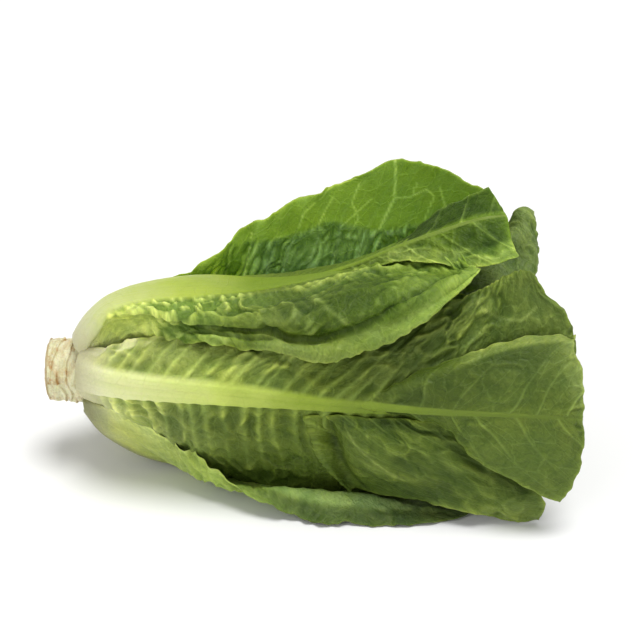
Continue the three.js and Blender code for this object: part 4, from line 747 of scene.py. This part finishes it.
# ------------------------------------------------------------------ palettes (base to tip)
JOIN = (0.60, 0.58, 0.34)
PAL = {
    "front": dict(
        blade=[(0.0, (0.52, 0.57, 0.24)), (0.14, (0.33, 0.39, 0.105)), (0.30, (0.225, 0.300, 0.055)), (0.45, (0.122, 0.178, 0.021)), (0.62, (0.092, 0.140, 0.017)), (0.80, (0.104, 0.160, 0.021)), (1.0, (0.115, 0.172, 0.030))],
        rib=[(0.0, (0.88, 0.87, 0.62)), (0.14, (0.80, 0.83, 0.40)), (0.33, (0.62, 0.72, 0.16)), (0.50, (0.31, 0.41, 0.045)), (0.66, (0.19, 0.27, 0.030)), (1.0, (0.135, 0.195, 0.030))]),
    "top": dict(
        blade=[(0.0, (0.56, 0.60, 0.22)), (0.16, (0.44, 0.52, 0.105)), (0.34, (0.215, 0.300, 0.045)), (0.55, (0.108, 0.165, 0.020)), (0.75, (0.100, 0.168, 0.014)), (1.0, (0.118, 0.210, 0.015))],
        rib=[(0.0, (0.72, 0.74, 0.44)), (0.14, (0.64, 0.69, 0.26)), (0.30, (0.46, 0.56, 0.085)), (0.50, (0.21, 0.31, 0.022)), (0.70, (0.20, 0.29, 0.035)), (1.0, (0.22, 0.30, 0.06))]),
    "back": dict(
        blade=[(0.0, (0.46, 0.50, 0.20)), (0.20, (0.25, 0.36, 0.05)), (0.40, (0.205, 0.318, 0.050)), (0.60, (0.168, 0.272, 0.036)), (0.80, (0.115, 0.205, 0.024)), (1.0, (0.110, 0.19, 0.026))],
        rib=[(0.0, (0.66, 0.66, 0.38)), (0.25, (0.52, 0.58, 0.22)), (0.6, (0.30, 0.38, 0.10)), (1.0, (0.18, 0.26, 0.06))]),
    "bottom": dict(
        blade=[(0.0, (0.50, 0.51, 0.27)), (0.16, (0.42, 0.49, 0.14)), (0.36, (0.34, 0.46, 0.085)), (0.60, (0.165, 0.245, 0.056)), (1.0, (0.11, 0.165, 0.044))],
        rib=[(0.0, (0.30, 0.30, 0.15)), (0.20, (0.29, 0.32, 0.12)), (0.5, (0.28, 0.36, 0.09)), (1.0, (0.20, 0.28, 0.06))]),
    "mid": dict(
        blade=[(0.0, (0.60, 0.62, 0.28)), (0.16, (0.46, 0.54, 0.11)), (0.36, (0.34, 0.43, 0.08)), (0.65, (0.22, 0.31, 0.055)), (1.0, (0.16, 0.24, 0.045))],
        rib=[(0.0, (0.70, 0.70, 0.44)), (0.25, (0.62, 0.66, 0.30)), (0.6, (0.42, 0.50, 0.14)), (1.0, (0.26, 0.34, 0.08))]),
    "heart": dict(
        blade=[(0.0, (0.70, 0.69, 0.38)), (0.30, (0.60, 0.62, 0.20)), (0.65, (0.46, 0.53, 0.12)), (1.0, (0.33, 0.43, 0.09))],
        rib=[(0.0, (0.74, 0.73, 0.50)), (0.4, (0.68, 0.69, 0.38)), (1.0, (0.44, 0.51, 0.16))]),
}

M_FRONT = leaf_material("leaf_front", **PAL["front"], base_rgb=JOIN, seed=1, rough=0.50, spec=0.18, crest=0.8, zone_mul=(1.12, 1.10, 1.10), crinkle=0.5, rim=0.55, crest_mul=(1.55, 1.45, 1.5), deep_mul=(0.40, 0.46, 0.36), vein=0.95, vein_mul=(1.42, 1.40, 1.45), vein_add=(0.040, 0.052, 0.022))
M_TOP = leaf_material("leaf_top", **PAL["top"], base_rgb=JOIN, seed=2, rim=0.5, spec=0.16, crest_mul=(1.50, 1.42, 1.5), crest_add=(0.045, 0.052, 0.026), deep_mul=(0.34, 0.42, 0.27), crest=1.0, crease=1.0, zone_mul=(1.22, 1.24, 1.5), crinkle=0.55)
M_BACK = leaf_material("leaf_back", **PAL["back"], base_rgb=JOIN, seed=3, net=0.5, vein=0.9, sss=0.55, sss_scale=0.003, rim=0.5, zone_mul=(0.78, 0.82, 1.9), crease=1.0, crest=1.0, crest_mul=(1.5, 1.4, 1.7), crest_add=(0.03, 0.05, 0.03), spec=0.20, crinkle=0.22, pale_add=(0.13, 0.15, 0.08))
M_BOTTOM = leaf_material("leaf_bottom", **PAL["bottom"], base_rgb=(0.27, 0.275, 0.13), seed=4, rim=0.25, pale_add=(0.08, 0.12, 0.06), spec=0.18)
M_MID = leaf_material("leaf_mid", **PAL["mid"], base_rgb=JOIN, seed=5)
M_CMID = leaf_material("leaf_top_mid", blade=[(0.0, (0.5, 0.54, 0.22)), (0.3, (0.26, 0.33, 0.08)), (0.7, (0.15, 0.22, 0.05)), (1.0, (0.145, 0.215, 0.05))], rib=PAL["mid"]["rib"], base_rgb=JOIN, seed=6)
M_HEART = leaf_material("leaf_heart", **PAL["heart"], base_rgb=JOIN, seed=7, crease=0.35)

# ------------------------------------------------------------------ the pieces
FINE = 1.0


def res(a, b):
    return max(24, int(a * FINE)), max(20, int(b * FINE))


def bump_(x, a, b, c, d):
    """Rises from a to b, falls from c to d."""
    return ease((x - a) / max(b - a, 1e-6)) * (1 - ease((x - c) / max(d - c, 1e-6)))


def line_to(s, t, pts, w):
    """Soft line along a run of points on the leaf, with its width in mm."""
    out = np.zeros_like(s)
    for (a0, b0), (a1, b1) in zip(pts[:-1], pts[1:]):
        dx, dy = a1 - a0, b1 - b0
        k = np.clip(((s - a0) * dx + (t - b0) * dy) / (dx * dx + dy * dy), 0, 1)
        out = np.maximum(out, np.exp(-(((s - a0 - k * dx) ** 2 + (t - b0 - k * dy) ** 2) / (w * w))))
    return out


FRONT = dict(low=1.35, rib_h=[2.2, 3.2, 3.0, 2.5, 1.7, 0.8, 0.3], rib_w=[13.0, 10.8, 8.0, 6.7, 3.9, 1.4, 0.6], rib_far=[0.60, 0.60, 0.78, 0.95, 1, 1, 1], rib_hard=0.10, rib_soft=0.42,
             crumple=1.0, folds=1.1, blister=0.8, pleats=1.1, ruffle=0.7, wave=0.8, grown=(6, 34), vein_gap=8.8, vein_a=0.52, vein_a2=0.10, vein_b=-0.001, vein_h=1.35, fold_stretch=1.15,
             vein_w=0.5, vein_wide=1.15, vein_reach=24.0, vein_far=0.12, clear=2.5, cell=6.5, stretch=1.6, fold_len=10.0,
             where=lambda s, t, f, n0, n1: (1.0 + 0.5 * ease((f - 0.52) / 0.2) * ease((t - 10) / 14) - 0.10 * ease((-t - 8) / 18)) * (1 - 0.45 * ease((f - 0.80) / 0.08) * (t > 0)) * (1 - 0.45 * (t > 0) * (1 - ease((f - 0.30) / 0.15))),
             cream=lambda s, t, f, n0, n1: 0.9 * ease((f - 0.02) / 0.02) * (1 - ease((f - 0.155 + 0.02 * np.sin(s / 3.0)) / 0.04)) * (1 - 0.9 * np.exp(-((f - 0.104) / 0.013) ** 2)) * (1 - ease((n1 - 4.0 - 1.5 * np.sin(s / 2.3) - 1.2 * np.sin(s / 5.1)) / 2.5)) * (t > 0),
             ruffle_where=lambda s, t, f, n0, n1: 1.0 + 1.2 * (t > 0) * (1 - ease((f - 0.14) / 0.1)),
             # zone: the upper half near the base painted lighter, as lit from above
             zone=lambda s, t, f, n0, n1: ease((t - 2) / 8) * (1 - ease((f - 0.42) / 0.25)),
             # darker mask: painted shade on the lower, downward-facing half, and the distal upper part darker
             deep=lambda s, t, f, n0, n1: 0.18 * ease((f - 0.80) / 0.08) * ease((t - 6) / 10) + 0.50 * ease((-t - 9) / 9) * bump_(f, 0.15, 0.23, 0.36, 0.48) + 0.35 * ease((-t - 28) / 12) * bump_(f, 0.30, 0.42, 0.9, 1.0),
             # pale: bands on the upper half and the lower base painted lighter to stand in for light, the far tip
             # painted lighter as light shines through, and thin pale lines
             pale=lambda s, t, f, n0, n1: 0.40 * bump_(f, 0.28, 0.36, 0.44, 0.52) * ease((t - 4) / 6) + 0.32 * bump_(f, 0.54, 0.64, 0.76, 0.84) * ease((t - 8) / 8) + 0.40 * bump_(f, 0.07, 0.11, 0.17, 0.24) * ease((-t - 6) / 5) + 0.15 * ease((f - 0.86) / 0.06) * ease((t - 30) / 20)
                                         + 0.8 * line_to(s, t, [(226, 51), (212, 55), (200, 63)], 0.8) + 0.8 * line_to(s, t, [(226, 51), (240, 50), (252, 56)], 0.8) + 0.7 * line_to(s, t, [(191, 22), (205, 35), (216, 47)], 0.7))
LOBE = dict(t0=8.0, s0=150.0, u_from=(0.50, 0.93), young_base=False, shear=0.2, crumple=1.0, folds=1.0, fold_len=19.0, fold_stretch=1.0, blister=0.5, pleats=0.1, ruffle=0.5, wave=0.8, base_thick=0.0, jag=0.35, vein_gap=14.0, vein_wide=0.3, cell=9.0, fold_map=lambda s, t, f, n0, n1: 1.0 + 0.6 * np.exp(-(n0 / 16.0) ** 2),
            # pale: painted highlight along the left fold ridge, and the far band paler
            pale=lambda s, t, f, n0, n1: 0.5 * line_to(s - 150, t - 8, [(33, 6), (38, 20), (47, 33), (53, 39)], 0.7) + 0.40 * ease((t - 8 - 52) / 12),
            push=lambda s, t, f, n0, n1: 2.2 * np.exp(-((s - 150 - 8) / 7.0) ** 2) - 1.6 * np.exp(-((s - 150 - 21) / 3.0) ** 2) * bump_(t, 8, 14, 50, 62),
            # darker mask: painted shade in the creases and inside the left fold, and painted shadow under the
            # overhanging tip
            deep=lambda s, t, f, n0, n1: 0.45 * bump_(s - 150, 48, 62, 80, 95) * bump_(t - 8, 14, 26, 46, 56) + 0.6 * line_to(s - 150, t - 8, [(26, 30), (34, 34), (44, 46), (52, 50)], 1.1) + 0.75 * line_to(s - 150, t - 8, [(59, 2), (88, 8), (99, 34), (110, 50)], 4.0) + 0.75 * line_to(s - 150, t - 8, [(22, 6), (20, 22), (23, 40), (28, 52)], 1.3) + 0.5 * line_to(s - 150, t - 8, [(34, 2), (28, 12), (24, 24)], 0.9))
TIP = dict(s0=150.0, u_from=(0.56, 1.0), young_base=False, shear=0.25, fold_stretch=1.0, crumple=0.75, folds=0.9, fold_len=18.0, blister=0.45, pleats=0.2, ruffle=0.45, wave=1.0, jag=0.6, base_thick=0.0, rib_h=[0.9, 0.9, 0.8, 0.6, 0.5, 0.3, 0.2],
           rib_w=[3.2, 2.8, 2.3, 1.8, 1.3, 0.9, 0.6], clear=1.5, clear_in=3.0, vein_gap=19.0, vein_w=0.4, vein_wide=0.25, vein_far=0.07, vein_wob=3.6, cell=8.0, ruffle_in=6.0,
           # pale: painted highlight along the upper fold rim, and the far corner paler
           pale=lambda s, t, f, n0, n1: (1 - ease((n0 - 6.5) / 3.5)) * 0.95 * ease((f - 0.42) / 0.16) + 0.6 * ease((f - 0.90) / 0.08) * (1 - ease((t + 14) / 14)),
           # darker mask: the whole tip a little darker, and darker in a band below the upper rim
           deep=lambda s, t, f, n0, n1: 0.12 + 0.50 * bump_(n0, 8, 11, 20, 34) * (1 - ease((f - 0.8) / 0.15)))
TOP = dict(rib_h=[2.0, 2.8, 2.6, 2.2, 1.4, 0.8, 0.2], rib_w=[20, 18, 14.5, 11.3, 4.6, 1.5, 0.6], rib_far=[1.4, 1.5, 1.9, 2.4, 3.6, 1.6, 1.0], rib_hard=0.10, rib_soft=0.10, crumple=1.25, folds=1.1, blister=1.0, pleats=0.6, ruffle=0.7, wave=0.9,
           grown=(10, 40), vein_gap=5.2, vein_a=0.3, vein_b=0.004, vein_h=0.8, vein_w=0.45, vein_wide=0.55, vein_reach=22, vein_far=0.12, clear=8.0, clear_in=4.0, cell=6.2, stretch=1.5, fold_len=16.0, fold_stretch=0.55, gain=2.1,
           col_weight=[1, 1, 1, 1, 1, 1, 0.7, 0.45, 0.4],
           fold_map=lambda s, t, f, n0, n1: 0.85 + 0.5 * bump_(-t, 14, 20, 30, 44) * bump_(f, 0.14, 0.22, 0.5, 0.6) + 0.9 * bump_(-t, 6, 9, 20, 30) * bump_(f, 0.45, 0.54, 0.80, 0.90),
           where=lambda s, t, f, n0, n1: (1.0 - 0.45 * ease((-t - 24) / 10) * ease((f - 0.3) / 0.1)) * (1.0 - 0.72 * (1 - ease((n0 - 12) / 8)) * ease((f - 0.42) / 0.12)) * (1 - 0.9 * ease((t - 4) / 4)) * (1 - 0.6 * (1 - ease((f - 0.19) / 0.07)) * (1 - 0.25 * ease((n0 - 14) / 4))),
           ruffle_where=lambda s, t, f, n0, n1: ease((f - 0.22) / 0.08) * (t < 0) + 0.3 * (t >= 0),
           zone=lambda s, t, f, n0, n1: (1 - ease((f - 0.34) / 0.14)) * ease((-t - 12) / 5),
           # pale: the turned-up flap strip by the near margin painted lighter as lit, bright bands of painted highlight
           # on the crests below the midrib and near the tip, and a pale vein line
           pale=lambda s, t, f, n0, n1: 0.62 * (1 - ease((n0 - 11) / 4)) * ease((f - 0.46) / 0.08) + 0.65 * bump_(-t, 8, 11, 20, 30) * bump_(f, 0.22, 0.30, 0.70, 0.84) + 0.45 * bump_(-t, 24, 30, 38, 46) * bump_(f, 0.46, 0.54, 0.62, 0.70) + 0.35 * bump_(f, 0.80, 0.86, 0.96, 1.1) * (t < 0)
                                       + 0.7 * line_to(s, t, [(137, -9), (155, -45), (170, -65)], 0.7),
           push=lambda s, t, f, n0, n1: -2.6 * line_to(s, t, FLAP_LINE, 2.6) + 1.5 * line_to(s, t, [(a, b - 5.5) for a, b in FLAP_LINE], 4.5) - 1.7 * line_to(s, t, CREASE_A, 1.8) - 1.4 * line_to(s, t, CREASE_B, 1.6) + 1.2 * line_to(s, t, [(a, b + 4.0) for a, b in CREASE_A], 2.6) + 1.0 * line_to(s, t, [(a, b - 3.2) for a, b in CREASE_A], 2.0),
           # darker mask: painted shade along the flap fold and the two creases, and over the middle band between the
           # crests and the flap
           deep=lambda s, t, f, n0, n1: 0.40 * bump_(f, 0.5, 0.58, 0.74, 0.84) * bump_(n0, 16, 22, 40, 56) + 0.80 * line_to(s, t, FLAP_LINE, 2.2) + 0.85 * line_to(s, t, CREASE_A, 1.4) + 0.70 * line_to(s, t, CREASE_B, 1.1) + 0.2 * line_to(s, t, [(120, -32), (140, -34), (165, -44), (185, -47)], 3.0))
CREASE_A = [(48, -25), (60, -31), (72, -35.5), (84, -39), (105, -42), (124, -44)]
CREASE_B = [(74, -42.5), (90, -45.5), (108, -47.5), (122, -50)]
FLAP_LINE = [(118, -40), (132, -51), (143, -54.5), (156, -61), (169, -63.5), (183, -61), (192, -55), (206, -50), (221, -29)]
FAN = dict(where=lambda s, t, f, n0, n1: 1.0 - 0.55 * ease((t - 1.5) / 3), s0=130.0, u_from=(0.5, 1.0), young_base=False, shear=0.4, fold_stretch=1.0, crumple=1.0, folds=1.0, fold_len=13.0, blister=0.2, pleats=0.25, ruffle=0.35, wave=0.7, base_thick=0.0, jag=0.5, rib_h=[1.1, 1.1, 1.0, 0.9, 0.7, 0.4, 0.2],
           rib_w=[3.8, 3.4, 2.8, 2.1, 1.4, 0.9, 0.5], clear=1.5, clear_in=3.0, vein_gap=17.0, vein_w=0.42, vein_wide=0.25, vein_far=0.3, cell=7.0,
           # pale: the part by the near margin painted lighter where it faces the light, a pale rim along the far
           # margin, and two pale vein lines
           pale=lambda s, t, f, n0, n1: 0.70 * (1 - ease((n0 - 9) / 5)) * bump_(f, 0.30, 0.45, 1.1, 1.2) + 0.75 * np.exp(-(n1 / 1.6) ** 2) + 0.85 * line_to(s - 130, t, [(81, 1), (90, -3), (95, -12)], 0.9) + 0.7 * line_to(s - 130, t, [(40, -3), (48, -9), (56, -12)], 0.8),
           # darker mask: painted shade over the half beyond the midrib, in the hollow, and a darker band towards the
           # tip
           deep=lambda s, t, f, n0, n1: 1.0 * ease((t - 1.5) / 3) * (1 - 0.25 * ease((f - 0.90) / 0.08)) + 0.75 * bump_(n0, 10, 13, 24, 27) * bump_(f, 0.68, 0.78, 0.93, 1.02))
BACK = dict(jag=1.35, rib_h=[1.6, 2.2, 2.0, 1.6, 1.1, 0.6, 0.2], rib_w=[10, 9, 7, 5.5, 4, 2.2, 1.0], rib_in=0.4, crumple=1.55, folds=0.5, fold_len=7.0, fold_stretch=3.0, blister=1.0, pleats=0.3, ruffle=1.0, wave=1.0, vein_gap=13.0, vein_a=0.30, vein_b=0.002,
            vein_w=0.5, vein_wide=0.2, vein_far=0.25, vein_reach=40, cell=4.4, stretch=3.2, gain=3.0, col_weight=[1, 1, 1, 0.6, 0.5],
            lobes=[(107, 2.6, 5.0), (116, 1.2, 4.0), (122, -1.5, 5.0), (137, 2.2, 5.0), (178, -1.0, 5.0), (188, 1.8, 8.0), (66, 3.0, 9.0)],
            where=lambda s, t, f, n0, n1: 0.05 + 1.10 * (1 - ease((-t - 30 + 2.5 * np.sin(s / 9.0)) / 6.0)),
            pale=lambda s, t, f, n0, n1: 0.75 * np.maximum.reduce([line_to(s, t, L, 0.5) for L in BACK_VEINS]) + 0.5 * line_to(s, t, BACK_VEINS[3], 0.85),
            # zone: the band next to the midrib darker and bluer, painted shade where no light shines through the leaf
            zone=lambda s, t, f, n0, n1: (1 - ease((-t - 31 + 2.0 * np.sin(s / 9.0)) / 4.0)) * ease((f - 0.38) / 0.08))
BACK_VEINS = [[(137, -35), (140, -42), (147, -48)], [(147, -34), (152, -42), (157, -50)], [(160, -32), (170, -40), (180, -49)], [(186, -32), (194, -50), (193, -60), (191, -72)], [(194, -50), (204, -51), (206, -59)],
              [(205, -52), (212, -56), (217, -52), (213, -38)], [(104, -14), (108, -28), (112, -38)], [(168, -30), (172, -38), (168, -46), (172, -58)], [(220, -34), (224, -46), (219, -58)], [(150, -50), (158, -58), (170, -62)]]
OUTER = [
    ("leaf_front_outer", "leaf_front_main", "leaf_front_outer.main", 3, res(262, 186), 101, FRONT, M_FRONT),
    ("leaf_front_outer", "leaf_front_lobe", "leaf_front_outer.low", None, res(190, 130), 111, LOBE, M_FRONT),
    ("leaf_front_outer", "leaf_front_tip", "leaf_front_outer.flap", 4, res(220, 190), 121, TIP, M_FRONT),
    ("leaf_top_outer", "leaf_top_main", "leaf_top_outer.main", 6, res(250, 196), 131, TOP, M_TOP),
    ("leaf_top_outer", "leaf_top_fan", "leaf_top_outer.fan", 2, res(210, 130), 141, FAN, M_TOP),
    ("leaf_bottom_outer", "leaf_bottom_main", "leaf_bottom_outer.main", 2, res(250, 180), 151, dict(rib_h=[1.6, 2.0, 1.6, 1.0, 0.6, 0.3, 0.1], rib_w=[12, 10, 8, 6, 4, 2, 1], shear=0.2, fold_stretch=0.7, fold_len=16.0, crumple=0.9, folds=1.0, ruffle=1.2, wave=0.9, ruffle_len=15.0, cell=9.0,
        # pale: a light line along the top margin near the base and a lighter band below it on the far half; darker
        # mask: painted shade along the top margin where the leaf above covers it
        pale=lambda s, t, f, n0, n1: 0.7 * np.exp(-(n1 / 2.0) ** 2) * bump_(f, 0.08, 0.12, 0.36, 0.46) + 0.45 * (1 - ease((n1 - 7) / 5)) * bump_(f, 0.06, 0.10, 0.18, 0.26) + 1.0 * bump_(n1, 9, 13, 25, 33) * bump_(f, 0.44, 0.52, 0.84, 0.96), deep=lambda s, t, f, n0, n1: 0.70 * ease((f - 0.44) / 0.12) * (1 - ease((n1 - 7) / 4.0)) * (1 - 0.3 * ease((f - 0.85) / 0.1))), M_BOTTOM),
    ("leaf_back_outer", "leaf_back_main", "leaf_back_outer.main", 3, res(256, 190), 161, BACK, M_BACK),
    ("leaf_top_mid", "leaf_top_mid_main", "leaf_top_mid.main", 3, res(230, 140), 171, dict(crumple=1.0, folds=0.9, ruffle=0.9, wave=0.7), M_CMID),
]
for node, name, key, rib, (nu, nv), seed, look, mat in OUTER:
    add_piece(leaf_mesh(name, NETS[key], rib, nu, nv, seed, look), node, node, mat)

INNER_LOOK = dict(crumple=0.5, folds=0.8, blister=0.4, pleats=0.5, ruffle=0.45, wave=0.25, jag=0.8, thick=0.45, base_thick=0.5, rib_h=[0.8, 1.2, 1.1, 0.8, 0.5, 0.3, 0.1], rib_w=[8, 7.5, 6, 4.5, 3, 1.6, 0.8], ruffle_len=11.0, ruffle_in=5.0, vein_h=0.4)
for i, (name, phi, depth, xb, xt, half, flare, back, wb) in enumerate(ROLLED):
    big = name in ("leaf_back_low", "leaf_under_mid")
    heart = name.startswith("leaf_heart")
    slot = "leaf_hidden" if big else "leaf_heart" if heart else "leaf_mid"
    look = dict(INNER_LOOK)
    if big:
        look.update(crumple=0.8, ruffle=0.7)
    if heart:
        look.update(crumple=0.4, ruffle=0.35, rib_w=[6, 5.5, 4.5, 3.5, 2.4, 1.4, 0.7])
    nu, nv = res(200, 130) if not heart else res(160, 96)
    ob = leaf_mesh(name + "_fine", rolled_net(phi, depth, xb, xt, half, flare, back, wb), 3, nu, nv, 200 + 10 * i, look)
    add_piece(ob, name, slot, M_CMID if big else M_HEART if heart else M_MID)

add_piece(stem_mesh("stem_fine"), "stem_butt", "stem_butt", stem_material("stem"))

# ------------------------------------------------------------------ floor, light, camera
me = bpy.data.meshes.new("floor")
me.from_pydata([(-3, -3, -0.0002), (3, -3, -0.0002), (3, 3, -0.0002), (-3, 3, -0.0002)], [], [(0, 1, 2, 3)])
floor = bpy.data.objects.new("floor", me)
bpy.context.scene.collection.objects.link(floor)
fm = bpy.data.materials.new("floor")
fm.use_nodes = True
fm.node_tree.nodes["Principled BSDF"].inputs["Base Color"].default_value = (0.93, 0.93, 0.925, 1)
fm.node_tree.nodes["Principled BSDF"].inputs["Roughness"].default_value = 0.9
fm.node_tree.nodes["Principled BSDF"].inputs["Specular IOR Level"].default_value = 0.1
me.materials.append(fm)

world = bpy.data.worlds.new("studio")
world.use_nodes = True
world.node_tree.nodes["Background"].inputs[0].default_value = (1.0, 1.0, 1.0, 1)
world.node_tree.nodes["Background"].inputs[1].default_value = 0.42
bpy.context.scene.world = world


def area(name, loc, target, size, power, color=(1, 1, 1)):
    li = bpy.data.lights.new(name, "AREA")
    li.shape, li.size, li.size_y, li.energy, li.color = "RECTANGLE", size, size, power, color
    ob = bpy.data.objects.new(name, li)
    d = np.array(target, float) - np.array(loc, float)
    from mathutils import Vector
    ob.location = loc
    ob.rotation_euler = Vector(d).to_track_quat("-Z", "Y").to_euler()
    bpy.context.scene.collection.objects.link(ob)


def sun(name, toward, angle, strength, color=(1, 1, 1)):
    from mathutils import Vector
    li = bpy.data.lights.new(name, "SUN")
    li.energy, li.angle, li.color = strength, math.radians(angle), color
    ob = bpy.data.objects.new(name, li)
    ob.rotation_euler = (-Vector(toward)).to_track_quat("-Z", "Y").to_euler()
    bpy.context.scene.collection.objects.link(ob)


sun("key", (0.17, -0.10, 1.0), 30.0, 2.35)
area("side", (-0.6, -0.9, 0.7), (0, 0, 0.05), 0.6, 2.6)

E = math.radians(27.0)
cam = bpy.data.cameras.new("camera")
cam.sensor_width = 36.0
cam.lens = 36.0 * 800.0 / 345.0
cam.clip_start, cam.clip_end = 0.05, 20
co = bpy.data.objects.new("camera", cam)
co.location = ((0 - SHIFT[0]) * MM, (-800 * math.cos(E) - SHIFT[1]) * MM, (84 + 800 * math.sin(E)) * MM)
co.rotation_euler = (math.radians(90) - E, 0, 0)
bpy.context.scene.collection.objects.link(co)
bpy.context.scene.camera = co
bpy.context.scene.view_settings.view_transform = "Standard"
